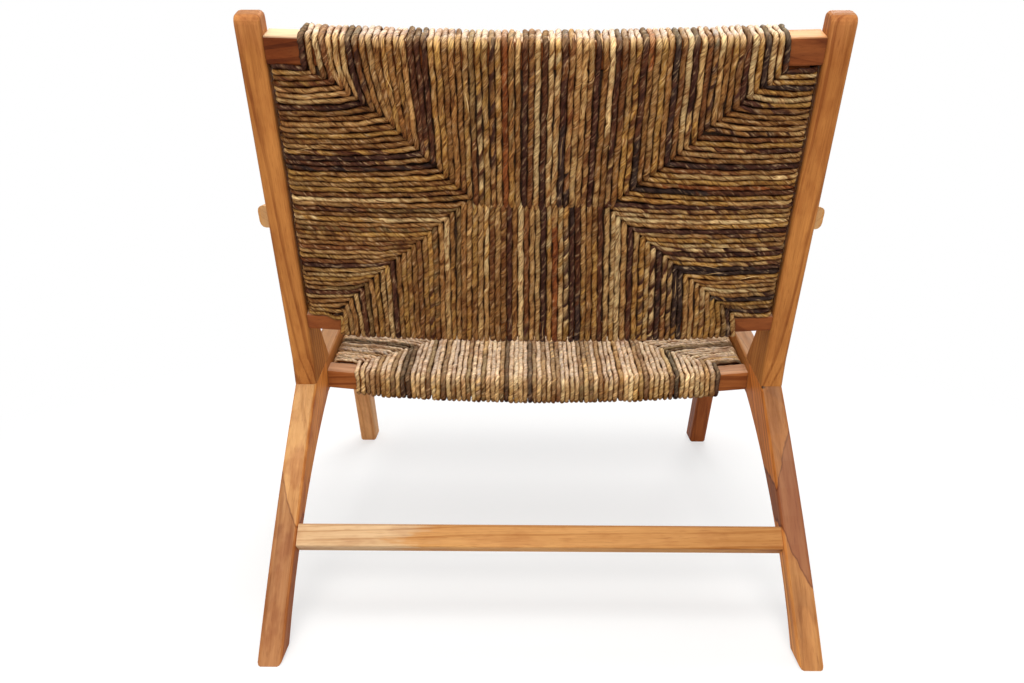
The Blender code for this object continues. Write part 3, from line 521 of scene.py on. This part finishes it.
def rope_material():
    """Twisted leaf. Attributes dye and dye_edge hold the leaf's own colours on its two edges, with the depth
    of its crease and how open the surface lies as their alpha, which set painted shade: dark lines along the
    leaf's edge and grooves, and darkening in the valleys between strands. Attribute lay holds the place along
    the strand and the direction round it, and sun how much sun bleaching and painted highlight it takes."""
    n = Nodes("natural_rope")
    first = n.add("ShaderNodeAttribute", attribute_name="dye").outputs
    second = n.add("ShaderNodeAttribute", attribute_name="dye_edge").outputs
    lay = n.add("ShaderNodeAttribute", attribute_name="lay").outputs["Vector"]
    sun_and_highlight = n.add("ShaderNodeAttribute", attribute_name="sun_and_highlight").outputs["Fac"]
    coordinates = n.add("ShaderNodeTexCoord").outputs
    up = n.add("ShaderNodeSeparateXYZ", {0: coordinates["Normal"]}).outputs["Z"]
    parts = n.add("ShaderNodeSeparateXYZ", {0: lay}).outputs
    turn = n.math("DIVIDE", n.math("ARCTAN2", parts["Z"], parts["Y"]), 2 * math.pi)
    drift = n.math("MULTIPLY", n.math("SUBTRACT", n.line_noise(parts["X"], 70.0, 2.0), 0.5), 0.32)
    across = n.math("FRACT", n.math("ADD", turn, drift))
    folds = n.noise(n.scaled(lay, (20.0, 1.0, 1.0)), 2.4, 2.0, 0.6)
    fibres = n.noise(n.scaled(lay, (16.0, 1.6, 1.6)), 5.0, 3.0, 0.65)
    patches = n.noise(n.scaled(lay, (95.0, 0.9, 0.9)), 1.0, 3.0, 0.6)
    scorch = n.noise(n.scaled(lay, (60.0, 1.3, 1.3)), 1.6, 2.0, 0.6)
    stain = n.noise(coordinates["Object"], 38.0, 3.0, 0.6)
    leaf = n.mix("MIX", n.range(across, 0.15, 0.85, 0.0, 1.0, smooth=True), first["Color"], second["Color"])
    leaf = n.tinted("MIX", leaf, patches, (0.52, 0.68), (0.0, 0.44), PALE_PATCH)
    leaf = n.tinted("MULTIPLY", leaf, patches, (0.32, 0.46), (0.90, 0.0), DARK_PATCH)
    leaf = n.tinted("MULTIPLY", leaf, scorch, (0.53, 0.61), (0.0, 0.84), SCORCH_TINT)
    # Painted shade: faces turned downward are darkened as if in the shade of the light from above.
    leaf = n.tinted("MULTIPLY", leaf, up, (-0.90, 0.05), (0.80, 0.0), UNDERSIDE_SHADE)
    # Painted shade: faces turned upward are toned down where the lamps light them most.
    leaf = n.tinted("MULTIPLY", leaf, up, (0.30, 0.85), (0.0, 1.0), UPPER_SHADE)
    # Sun bleaching and a painted highlight: faces turned up and out are lightened towards cream.
    sun_and_highlight = n.math("MULTIPLY", sun_and_highlight, n.range(fibres, 0.35, 0.60, 0.60, 1.0))
    leaf = n.mix("ADD", n.math("MULTIPLY", sun_and_highlight, 1.35, clamp=True), leaf, leaf)
    leaf = n.mix("MIX", n.math("MULTIPLY", sun_and_highlight, 0.66), leaf, n.ramp(sun_and_highlight, BLEACHED_AND_HIGHLIGHT))
    leaf = n.tinted("MULTIPLY", leaf, stain, (0.50, 0.66), (0.0, 0.62), STAIN_TINT)
    # Painted shade: a dark line where the leaf's edge steps over the last turn, as strong as the crease is
    # deep.
    edge = n.math("MINIMUM", across, n.math("SUBTRACT", 1.0, across))
    present = n.range(n.line_noise(parts["X"], 48.0, 1.0), 0.40, 0.60, 0.15, 1.0, smooth=True)
    line = n.math("MULTIPLY", n.range(edge, 0.010, 0.070, 1.0, 0.0, smooth=True), present)
    line = n.math("MULTIPLY", line, first["Alpha"])
    leaf = n.mix("MULTIPLY", n.math("MULTIPLY", line, 0.95), leaf, (*CREASE_SHADE, 1.0))
    # Painted shade: dark lines in the grooves between the twist's plies, where they come and go along the
    # strand.
    half = n.math("FRACT", n.total(n.math("MULTIPLY", turn, 2.0), n.math("MULTIPLY", drift, 3.0), 0.31))
    half_edge = n.math("MINIMUM", half, n.math("SUBTRACT", 1.0, half))
    crossing = n.line_noise(n.math("ADD", parts["X"], 9.0), 75.0, 1.0)
    crossing = n.range(crossing, 0.46, 0.62, 0.0, 0.75, smooth=True)
    crossing = n.math("MULTIPLY", n.range(half_edge, 0.015, 0.09, 1.0, 0.0, smooth=True), crossing)
    crossing = n.math("MULTIPLY", crossing, first["Alpha"])
    leaf = n.mix("MULTIPLY", crossing, leaf, (*PLY_GROOVE_SHADE, 1.0))
    # Painted shade: surfaces turned in towards the panel, between the strands, are darkened.
    valley = n.math("SUBTRACT", 1.0, second["Alpha"])
    leaf = n.mix("MULTIPLY", n.range(valley, 0.02, 0.75, 0.0, 1.0), leaf, (*VALLEY_SHADE, 1.0))
    # Painted shade and highlight that follow the bump: the hollows of the folds and fibres are darker, and
    # the lip before the leaf's edge is lighter.
    lip_highlight = n.math("MULTIPLY", n.range(across, 0.84, 0.94, 0.0, 1.0, smooth=True), 0.16)
    shade = n.total(n.range(folds, 0.34, 0.66, 0.58, 1.22), n.range(fibres, 0.34, 0.66, -0.17, 0.17), lip_highlight)
    n.feed(n.shader.inputs["Base Color"], n.mix("MULTIPLY", 1.0, leaf, n.grey(shade)))
    n.feed(n.shader.inputs["Roughness"], n.range(fibres, 0.3, 0.7, 0.42, 0.60))
    n.shader.inputs["Specular IOR Level"].default_value = ROPE_SPECULAR
    height = n.math("SUBTRACT", n.math("ADD", folds, n.math("MULTIPLY", fibres, 0.35)),
                    n.math("MULTIPLY", n.math("MAXIMUM", line, crossing), 1.2))
    bump = n.add("ShaderNodeBump", {"Height": height, "Strength": 0.8, "Distance": 0.0014})
    n.feed(n.shader.inputs["Normal"], bump.outputs[0])
    return n.material


def filling_material():
    """Packed leaf between the two sides of a panel, coloured as dark as the shade deep between the strands.
    Little of it is seen.
    """
    n = Nodes("packed_fibre_in_shade")
    grain = n.noise(n.add("ShaderNodeTexCoord").outputs["Object"], 420.0, 3.0, 0.6)
    n.feed(n.shader.inputs["Base Color"], n.ramp(grain, PACKED_SHADE_TONES))
    n.shader.inputs["Roughness"].default_value = 0.9
    return n.material


# Rope paths. In a panel a point is (x across the chair, a along the panel, b off it).

def dish_at(x):
    share = np.minimum(np.abs(x) / INNER_FACE, 1.0)
    return DISH * (1 - share * share)


def turned(panel, across, along, out):
    """World directions or offsets of ones given in the panel."""
    ahead = panel["along"][0] * along + panel["out"][0] * out
    up = panel["along"][1] * along + panel["out"][1] * out
    return np.stack([across, -ahead, up], axis=-1)


def to_world(panel, points):
    x, a, b = points[:, 0], points[:, 1], points[:, 2] + dish_at(points[:, 0])
    heel = np.array([0.0, CHAIR_DEPTH / 2 - panel["origin"][0], panel["origin"][1]])
    return turned(panel, x, a, b) + heel


def rounded_path(rows):
    """Polyline through rows of (x, a, b, radius), with each inner corner rounded to about its radius."""
    points = [np.array(row[:3], float) for row in rows]
    path = [points[0]]
    for index in range(1, len(points) - 1):
        before, here, after = points[index - 1], points[index], points[index + 1]
        u, v = before - here, after - here
        lu, lv = np.linalg.norm(u), np.linalg.norm(v)
        u, v = u / lu, v / lv
        half = math.acos(max(-1.0, min(1.0, float(u @ v)))) / 2
        reach = min(rows[index][3] / max(math.tan(half), 1e-3), 0.48 * lu, 0.48 * lv)
        start, end = here + u * reach, here + v * reach
        for step in range(BEND_STEPS + 1):
            t = step / BEND_STEPS
            path.append((1 - t) ** 2 * start + 2 * t * (1 - t) * here + t * t * end)
    path.append(points[-1])
    return np.array(path)


def resample(path, step):
    lengths = np.linalg.norm(np.diff(path, axis=0), axis=1)
    path = path[np.concatenate([[True], lengths > 1e-7])]
    lengths = np.linalg.norm(np.diff(path, axis=0), axis=1)
    along = np.concatenate([[0.0], np.cumsum(lengths)])
    count = max(int(round(along[-1] / step)), 4)
    places = np.linspace(0.0, along[-1], count + 1)
    return np.stack([np.interp(places, along, path[:, k]) for k in range(3)], axis=1), places


def wobble(rng, places, amount, wave):
    result = np.zeros_like(places)
    for scale in (1.0, 0.45):
        phase = rng.uniform(0, 2 * math.pi)
        result += np.sin(2 * math.pi * places / (wave * scale * rng.uniform(0.8, 1.25)) + phase) * scale
    return result * amount


def frames_along(points):
    """Two normals along a curve, each turned as little as possible from the last."""
    tangents = np.gradient(points, axis=0)
    tangents /= np.linalg.norm(tangents, axis=1)[:, None]
    normal = Vector(tangents[0]).orthogonal().normalized()
    previous = Vector(tangents[0])
    normals = []
    for row in tangents:
        tangent = Vector(row)
        normal = previous.rotation_difference(tangent) @ normal
        normal = (normal - tangent * normal.dot(tangent)).normalized()
        normals.append(normal[:])
        previous = tangent
    normals = np.array(normals)
    return normals, np.cross(tangents, normals)


def outward(panel, path):
    """World direction from the panel's core to each point of a path."""
    x, a, b = path[:, 0], path[:, 1], path[:, 2]
    middle = sum(panel["faces"]) / 2
    across = x - np.clip(x, -CORE_REACH, CORE_REACH)
    along = a - np.clip(a, panel["near"][1] - CORE_OVERLAP, panel["far"][0] + CORE_OVERLAP)
    out = b - np.clip(b, middle - CORE_HALF_DEPTH, middle + CORE_HALF_DEPTH)
    direction = turned(panel, across, along, out)
    return direction / np.maximum(np.linalg.norm(direction, axis=1), 1e-6)[:, None]


def tube_quads(index):
    """Quads between the rings of a tube, from its table of point numbers, with one ring in a row."""
    following = np.roll(index, -1, axis=1)
    return np.stack([index[:-1], following[:-1], following[1:], index[1:]], axis=2).reshape(-1, 4)


class RopeMesh:
    """Collects the strands of one panel's piece, then makes them one mesh."""

    def __init__(self, panel):
        self.panel = panel
        self.points, self.quads, self.caps = [], [], []
        self.dye, self.dye_edge, self.lay, self.sun_and_highlight = [], [], [], []
        self.count = 0

    def add(self, rng, path, places, family):
        panel = self.panel
        lay = rng.uniform(*panel["lay"])
        turn = 2 * math.pi * places / lay + rng.uniform(0, 2 * math.pi) + wobble(rng, places, 0.60, 0.05)
        world = to_world(panel, path)
        normals, sides = frames_along(world)
        spiral = 0.93 + 0.11 * (SIDE_ANGLES / (2 * math.pi)) ** 1.4
        ply = -rng.uniform(*panel["ply"]) * np.cos(2 * SIDE_ANGLES)
        tangent = np.gradient(path, axis=0)
        crosswise = tangent[:, 0] ** 2 / np.maximum(np.sum(tangent ** 2, axis=1), 1e-12)
        size = ROPE_RADIUS * panel["swell"] * rng.uniform(0.88, 1.07) * (1 - 0.07 * crosswise)
        size = size * (1 + wobble(rng, places, 0.065, 0.030))
        crinkle = np.zeros((len(places), ROPE_SIDES))
        for wave, turns in ((0.019, 3), (0.011, 2), (0.0075, -1)):
            phase = rng.uniform(0, 2 * math.pi)
            run = 2 * math.pi * places[:, None] / wave
            crinkle += 0.036 * np.sin(run + turns * SIDE_ANGLES[None, :] + phase)
        angles = turn[:, None] + SIDE_ANGLES[None, :]
        radial = normals[:, None, :] * np.cos(angles)[:, :, None]
        radial = radial + sides[:, None, :] * np.sin(angles)[:, :, None]
        radius = size[:, None] * ((spiral + ply)[None, :] + crinkle)
        ring = world[:, None, :] + radial * radius[:, :, None]
        out = outward(panel, path)
        facing = np.sum(radial * out[:, None, :], axis=2)
        # Sun bleaching and painted highlight, strongest where the surface faces up and out of the panel.
        sky = np.interp(out[:, 2], panel["sky"], (0.0, 1.0)) * panel["bleach_and_highlight"] * BLEACH_AND_HIGHLIGHT_SHARE[family]
        self.sun_and_highlight.append((sky[:, None] * np.clip(facing + 0.45, 0.0, 1.0)).reshape(-1))
        rings = len(places)
        index = np.arange(rings * ROPE_SIDES).reshape(rings, ROPE_SIDES) + self.count
        self.points.append(ring.reshape(-1, 3))
        self.quads.append(tube_quads(index))
        self.caps += [index[0][::-1], index[-1]]
        # Crosswise strands are painted darker, as shade.
        self.paint(rng, places, lay, facing, family, 1 - 0.15 * crosswise)
        self.count += rings * ROPE_SIDES
        if rng.random() < FIBRE_CHANCE:
            self.loose_fibre(rng, world, out, rng.integers(0, rings - 24))

    def loose_fibre(self, rng, world, out, start):
        """A thin fibre that has come off the strand's surface and stands a little proud at one end."""
        rings = int(rng.integers(9, 18))
        line, away = world[start:start + rings], out[start:start + rings]
        across = np.cross(np.gradient(line, axis=0), away)
        across /= np.maximum(np.linalg.norm(across, axis=1), 1e-6)[:, None]
        share = np.linspace(0.0, 1.0, rings)[:, None]
        drift = rng.uniform(-1.0, 1.0) * ROPE_RADIUS
        line = line + away * (ROPE_RADIUS * 1.02 + rng.uniform(0.0002, 0.0022) * share ** 2)
        line = line + across * drift * (share - 0.3 + rng.uniform(0.2, 0.8) * share ** 2)
        radius = FIBRE_RADIUS * np.sin(np.pi * (0.12 + 0.84 * share))
        ring = np.stack([line + (away * c + across * s) * radius
                         for c, s in ((1, 0), (0, 1), (-1, 0), (0, -1))], axis=1)
        count = rings * FIBRE_SIDES
        index = np.arange(count).reshape(rings, FIBRE_SIDES) + self.count
        self.points.append(ring.reshape(-1, 3))
        self.quads += [tube_quads(index), np.stack([index[0][::-1], index[-1]])]
        tone = TONES[("straw", "sand", "tan", "brown")[rng.integers(4)]]
        self.dye.append(np.tile([*tone, 0.0], (count, 1)))
        self.dye_edge.append(np.tile([*tone, 1.0], (count, 1)))
        self.lay.append(np.tile([rng.uniform(0, 50), 0.0, 1.0], (count, 1)))
        self.sun_and_highlight.append(np.full(count, 0.25))
        self.count += count

    def paint(self, rng, places, lay, facing, family, crosswise_shade):
        """Gives every point the tones of the leaf it lies on. A new leaf starts along the twist."""
        leaf_at = places[:, None] - lay * (SIDE_ANGLES / (2 * math.pi))[None, :]
        starts = np.cumsum(rng.uniform(*LEAF_LENGTHS, LEAVES)) - 0.10
        leaf = np.searchsorted(starts, leaf_at)
        tones = FAMILIES[family]
        pairs = []
        for _ in range(LEAVES + 1):
            name = tones[rng.integers(len(tones))]
            if rng.random() < STRAY_CHANCE:
                name = FAMILIES["plain"][rng.integers(len(FAMILIES["plain"]))]
            other = name
            if rng.random() < TWO_TONE_CHANCE:
                other = tones[rng.integers(len(tones))]
            elif rng.random() < DARK_EDGE_CHANCE:
                other = ("umber", "brown", "purple")[rng.integers(3)]
            level = rng.uniform(0.86, 1.14)
            pairs.append((TONES[name] * level, TONES[other] * level * rng.uniform(0.72, 1.10)))
        pairs = np.array(pairs)
        # Painted shade: strands that run crosswise are darker, by the factor given for them.
        slow = (crosswise_shade + wobble(rng, places, 0.06, 0.08))[:, None, None]
        # The alphas carry painted shade: the crease's depth sets the dark lines along the leaf's edge and
        # grooves, and how open a surface lies sets the darkening of the valleys between strands.
        crease = rng.uniform(0.35, 1.0)
        opened = np.clip((facing + 0.25) / 0.85, 0.0, 1.0)
        shape = (len(places), ROPE_SIDES, 1)
        for rows, edge, alpha in ((self.dye, 0, np.full(shape, crease)),
                                  (self.dye_edge, 1, opened[:, :, None])):
            rows.append(np.concatenate([pairs[leaf, edge] * slow, alpha], axis=2).reshape(-1, 4))
        along = np.broadcast_to((places + rng.uniform(0, 50))[:, None], shape[:2])
        cosines = np.broadcast_to(np.cos(SIDE_ANGLES)[None, :], shape[:2])
        sines = np.broadcast_to(np.sin(SIDE_ANGLES)[None, :], shape[:2])
        self.lay.append(np.stack([along, cosines, sines], axis=2).reshape(-1, 3))

    def build(self, name, material):
        mesh = bpy.data.meshes.new(name)
        points = np.concatenate(self.points).astype(np.float32)
        quads = np.concatenate(self.quads)
        caps = np.array(self.caps)
        loops = np.concatenate([quads.reshape(-1), caps.reshape(-1)]).astype(np.int32)
        sizes = np.concatenate([np.full(len(quads), 4), np.full(len(caps), ROPE_SIDES)])
        starts = np.concatenate([[0], np.cumsum(sizes)[:-1]]).astype(np.int32)
        mesh.vertices.add(len(points))
        mesh.vertices.foreach_set("co", points.reshape(-1))
        mesh.loops.add(len(loops))
        mesh.loops.foreach_set("vertex_index", loops)
        mesh.polygons.add(len(sizes))
        mesh.polygons.foreach_set("loop_start", starts)
        mesh.update(calc_edges=True)
        for title, kind, field, rows in (("dye", "FLOAT_COLOR", "color", self.dye),
                                         ("dye_edge", "FLOAT_COLOR", "color", self.dye_edge),
                                         ("lay", "FLOAT_VECTOR", "vector", self.lay),
                                         ("sun_and_highlight", "FLOAT", "value", self.sun_and_highlight)):
            data = mesh.attributes.new(title, kind, "POINT").data
            data.foreach_set(field, np.concatenate(rows).astype(np.float32).reshape(-1))
        mesh.shade_smooth()
        mesh.materials.append(material)
        mesh.validate()
        item = bpy.data.objects.new(name, mesh)
        bpy.context.scene.collection.objects.link(item)
        return item


def family_of(tones, index):
    for family, strands in tones.items():
        if index in strands:
            return family
    return "plain"


def rail_edge(panel, end, x):
    """Where a strand's middle line passes over a rail. The back's upper edge dips towards its middle."""
    if end > 0:
        return panel["far"][1] + ROPE_RADIUS
    return panel["near"][0] - ROPE_RADIUS + panel["sag"] * max(0.0, 1 - (x / SAG_REACH) ** 2)


def corner_strand(rng, panel, side, end, index):
    """Rows of one strand of a corner. It starts and ends inside the panel at the inner face's turn."""
    corner = panel["corners"][side, end]
    inner = panel["near"][1] if end < 0 else panel["far"][0]
    low, high = panel["faces"]
    middle_b = (low + high) / 2
    rail_half = (high - low) / 2 + ROPE_RADIUS
    stile_half = STILE_HALF_DEPTH + ROPE_RADIUS
    share = index / (CORNER_STRANDS - 1)
    rail_x = side * (np.interp(share, (0, 1), corner["rail"]) + rng.normal(0, CROSSING_JITTER))
    stile_a = np.interp(share, (0, 1), corner["stile"]) + rng.normal(0, CROSSING_JITTER)
    fan = np.interp(share, SHARES, corner["fan"]) / 1000
    tilt = np.interp(share, SHARES, corner["tilt"]) / 1000
    over = rail_edge(panel, end, rail_x)
    stile_x = side * (STILE_OUTER + ROPE_SLACK + ROPE_RADIUS)
    away = -end

    def turn_place():
        x = rail_x - side * (fan + rng.normal(0, TURN_JITTER))
        a = stile_a - tilt + rng.normal(0, TURN_JITTER)
        return x, a

    def rail_part(x, a, face):
        rows = [(rail_x, over, middle_b + face * rail_half, RAIL_BEND)]
        if abs(a - inner) > 0.020:
            across = rail_x * 0.85 + x * 0.15
            rows.append((across, inner - end * 0.002, middle_b + face * rail_half, FACE_BEND))
        rows.append((x, a - away * 0.0046, middle_b + face * (rail_half - 0.0003), 0.004))
        rows.append((x, a + away * 0.0016, middle_b + face * (rail_half - 0.0050), 0.0030))
        return rows

    def stile_part(x, a, face):
        start = stile_x - side * 0.022
        reach = abs(start - x)
        rows = [(x + side * 0.010, a + tilt * 0.10, middle_b + face * (rail_half - 0.0014), 0.006)]
        for part, lift in ((0.33, 0.50), (0.66, 0.15)):
            if reach > 0.05:
                depth = rail_half + (stile_half - rail_half) * part
                across = x + side * reach * part
                rows.append((across, stile_a - tilt * lift, middle_b + face * depth, FACE_BEND))
        rows.append((start, stile_a, middle_b + face * (stile_half + 0.0002), 0.02))
        rows.append((stile_x, stile_a, middle_b + face * stile_half, STILE_BEND))
        return rows

    x, a = turn_place()
    deep = (x, a + away * 0.001, middle_b - rail_half + 0.008, 0.0)
    rows = [deep] + rail_part(x, a, -1)[::-1]
    x, a = turn_place()
    rows += rail_part(x, a, 1) + stile_part(x, a, 1)
    x, a = turn_place()
    rows += stile_part(x, a, -1)[::-1]
    rows.append((x - side * 0.001, a, middle_b - rail_half + 0.007, 0.0))
    return rows


def middle_strand(rng, panel, x, seam_x, end):
    """Rows of one middle strand. It goes over its rail, and both ends turn into the panel at the seam."""
    inner = panel["near"][1] if end < 0 else panel["far"][0]
    low, high = panel["faces"]
    middle_b = (low + high) / 2
    rail_half = (high - low) / 2 + ROPE_RADIUS
    over = rail_edge(panel, end, x)
    tip = panel["seam"] - end * (0.0030 + abs(rng.normal(0, 0.0012)))
    x = x + rng.normal(0, 0.0003)
    half = [
        (seam_x, tip, rail_half - 0.009, 0.0),
        (seam_x, tip + end * 0.0035, rail_half - 0.0020, 0.004),
        (seam_x, tip + end * 0.012, rail_half, 0.01),
        ((x + seam_x) / 2, (tip + inner) / 2, rail_half, FACE_BEND),
        (x, inner, rail_half, 0.02),
        (x, over, rail_half, RAIL_BEND),
    ]
    rows = [(row[0], row[1], middle_b - row[2], row[3]) for row in half]
    return rows + [(row[0], row[1], middle_b + row[2], row[3]) for row in half[::-1]]


def lay_strand(rng, rope, rows, family):
    path, places = resample(rounded_path(rows), RING_STEP)
    fade = np.minimum(np.minimum(places, places[-1] - places) / 0.02, 1.0)
    for column, amount, wave in ((0, 0.00050, 0.06), (1, 0.00050, 0.055), (2, 0.00045, 0.05)):
        path[:, column] += wobble(rng, places, amount, wave) * fade
    rope.add(rng, path, places, family)


def weave_panel(title, panel, material):
    pieces = []
    corners = panel["corners"]
    ends = ((-1, "near"), (1, "far"))
    for side, side_name in ((1, "left"), (-1, "right")):
        for end, end_name in ends:
            rng = np.random.default_rng(panel["seed"] * 100 + (side + 1) * 10 + end + 1)
            rope = RopeMesh(panel)
            for index in range(CORNER_STRANDS):
                rows = corner_strand(rng, panel, side, end, index)
                lay_strand(rng, rope, rows, family_of(CORNER_TONES[title, side, end], index))
            pieces.append(rope.build(f"{title}_rope_{end_name}_{side_name}", material))
    for end, end_name in ends:
        rng = np.random.default_rng(panel["seed"] * 100 + 50 + end)
        rope = RopeMesh(panel)
        count = MIDDLE_STRANDS[end]
        edges = [side * corners[side, end]["rail"][1] for side in (-1, 1)]
        seam_edges = [side * (corners[side, end]["rail"][1] - corners[side, end]["fan"][-1] / 1000)
                      for side in (-1, 1)]
        for index in range(count):
            share = (index + 1) / (count + 1)
            x = np.interp(share, (0, 1), edges)
            seam_x = np.interp(share, (0, 1), seam_edges)
            rows = middle_strand(rng, panel, x, seam_x, end)
            lay_strand(rng, rope, rows, family_of(MIDDLE_TONES[title, end], index))
        pieces.append(rope.build(f"{title}_rope_{end_name}_middle", material))
    pieces.append(filling_piece(title, panel))
    for piece in pieces:
        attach(piece, "root")
        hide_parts("woven_" + title)


def filling_piece(title, panel):
    """Packed filling between the two faces of a panel."""
    low, high = panel["faces"]
    middle = (low + high) / 2
    half = (high - low) / 2 - 0.0035
    near, far = panel["near"][1] + 0.001, panel["far"][0] - 0.001
    points, faces = [], []
    stations = np.linspace(-FILLING_REACH, FILLING_REACH, 21)
    for x in stations:
        for a, b in ((near, -half), (far, -half), (far, half), (near, half)):
            points.append((x, a, middle + b))
    for index in range(len(stations) - 1):
        start = index * 4
        for k in range(4):
            following = (k + 1) % 4
            faces.append((start + k, start + following, start + 4 + following, start + 4 + k))
    faces.append((3, 2, 1, 0))
    end = (len(stations) - 1) * 4
    faces.append((end, end + 1, end + 2, end + 3))
    mesh = bpy.data.meshes.new(title + "_filling")
    mesh.from_pydata(to_world(panel, np.array(points)).tolist(), [], faces)
    mesh.materials.append(FILLING)
    item = bpy.data.objects.new(title + "_filling", mesh)
    bpy.context.scene.collection.objects.link(item)
    return item


# Wood

def side_view(direction):
    """World direction of a side view's direction."""
    return (0.0, -direction[0], direction[1])


ORANGE = ((0.245, 0.073, 0.016), (0.560, 0.226, 0.056))
TAN = ((0.450, 0.187, 0.050), (0.750, 0.395, 0.140))
# The left front leg's tones: its own paler wood, raised further to paint the light that falls on it from the
# front and left
PALE_AND_LIT = ((0.630, 0.262, 0.095), (0.930, 0.500, 0.215))
RED = ((0.185, 0.045, 0.013), (0.470, 0.132, 0.034))
RUSSET = ((0.130, 0.033, 0.009), (0.310, 0.090, 0.024))
AMBER = ((0.200, 0.055, 0.014), (0.440, 0.150, 0.038))
CHESTNUT = ((0.208, 0.060, 0.012), (0.490, 0.178, 0.041))
DARK_END = (0.300, 0.125, 0.045)


def dress_wood():
    """Gives every wooden node its teak. pith is where the piece's centre lies, seen from the rings' axis. A
    wash is a direction, the places along it where it starts and is full, and its tint. The heart lies past
    every plane that is given for it. bleach is how far upward faces turn to the tone called worn, which
    stands for sun bleaching and wear together with painted light from above. flank is a tint for faces turned
    sideways, painted light that stands in for light bouncing onto a leg's sides."""
    leg = side_view(KNEE)
    front = side_view((-math.sin(FRONT_RAKE), math.cos(FRONT_RAKE)))
    post, rail = side_view(BACK_UP), side_view(RAIL_AHEAD)
    wide = (1.0, 0.0, 0.0)
    worn_tip = ((0.0, 0.0, 1.0), 0.700, 0.745, (1.16, 1.22, 1.50))
    looks = {
        "back_post_left": {"grain": post, "pith": (0.05, 0.06, 0.0), "tones": ORANGE, "bleach_and_highlight": 0.1,
                           "end": DARK_END, "washes": (worn_tip,)},
        "back_post_right": {"grain": post, "pith": (-0.06, 0.05, 0.4), "tones": ORANGE, "bleach_and_highlight": 0.1,
                            "end": DARK_END, "washes": (worn_tip,)},
        "rear_leg_left": {"grain": leg, "pith": (0.04, 0.07, 0.7), "tones": TAN, "blotch": 0.75,
                          "washes": (((0.0, 0.0, 1.0), 0.20, 0.08, (0.76, 0.68, 0.70)),),
                          "heart": (((0.887, 0.0, -0.462), 0.2164),), "heart_kind": "MULTIPLY",
                          "heart_tone": (0.68, 0.60, 0.60), "painted_side_light": (1.12, 0.82, 0.50)},
        "rear_leg_right": {"grain": leg, "pith": (0.015, 0.05, 1.1), "tones": CHESTNUT, "figure": 0.24,
                           "painted_side_light": (1.70, 1.62, 1.50),
                           "washes": (((0.0, 0.0, 1.0), 0.15, 0.08, (1.26, 1.58, 2.10)),),
                           "heart": (((-0.902, 0.0, -0.430), 0.206), ((-0.894, 0.0, 0.447), 0.3336)),
                           "knot": {"place": (-0.3129, 0.1303, 0.2698), "reach": 0.008}},
        "side_rail_left": {"grain": rail, "pith": (0.05, -0.04, 0.2), "tones": ORANGE},
        "side_rail_right": {"grain": rail, "pith": (0.03, 0.05, 0.9), "tones": ORANGE},
        "front_leg_left": {"grain": front, "pith": (0.05, 0.03, 0.3), "tones": PALE_AND_LIT},
        "front_leg_right": {"grain": front, "pith": (0.02, 0.05, 0.6), "tones": RED},
        "armrest_left": {"grain": (0.0, 1.0, 0.0), "pith": (0.03, 0.09, 0.5), "tones": TAN},
        "armrest_right": {"grain": (0.0, 1.0, 0.0), "pith": (-0.05, 0.08, 1.5), "tones": TAN},
        "rear_stretcher": {"grain": wide, "pith": (0.03, 0.09, 0.1), "tones": TAN, "bleach_and_highlight": 0.6,
                           "ragged": 0.16, "worn_and_lit": (0.33, 0.155, 0.066),
                           "washes": (((1.0, 0.0, 0.0), 0.14, 0.19, (1.10, 1.45, 2.35)),
                                      ((1.0, 0.0, 0.0), 0.00, -0.28, (0.82, 0.76, 0.68)))},
        "back_top_rail": {"grain": wide, "pith": (0.05, 0.04, 0.8), "tones": RUSSET, "bleach_and_highlight": 0.95,
                          "washes": (((1.0, 0.0, 0.0), 0.22, 0.30, (0.60, 0.48, 0.40)),),
                          "worn_and_lit": (0.92, 0.66, 0.40),
                          "worn_and_lit_there": ((-1.0, 0.0, 0.0), 0.0, 0.1, (0.78, 0.40, 0.17))},
        "back_bottom_rail": {"grain": wide, "pith": (0.02, 0.05, 0.3), "tones": RUSSET},
        "seat_rear_rail": {"grain": wide, "pith": (0.06, 0.03, 0.6), "tones": AMBER},
        "seat_front_rail": {"grain": wide, "pith": (0.04, 0.05, 1.2), "tones": ORANGE},
    }
    for side, shift in (("left", 0.2), ("right", 0.5)):
        looks["back_stile_" + side] = {"grain": post, "pith": (0.04, 0.03, shift), "tones": RUSSET}
        looks["seat_side_bar_" + side] = {"grain": rail, "pith": (0.05, 0.03, shift), "tones": RUSSET}
        for place in ("rear", "front"):
            looks[f"post_dowel_{place}_{side}"] = {"grain": side_view(RAIL_UP), "pith": (0.02, 0.02, shift),
                                                   "tones": TAN}
    for node, look in looks.items():
        low, high = (Vector(corner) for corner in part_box(node))
        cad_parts[node].material_slots[0].material = teak("teak_" + node, (low + high) / 2, look)


make_camera()
make_studio()
make_floor()
FILLING = filling_material()
ROPE = rope_material()
dress_wood()
for panel_title, panel_data in PANELS.items():
    weave_panel(panel_title, panel_data, ROPE)
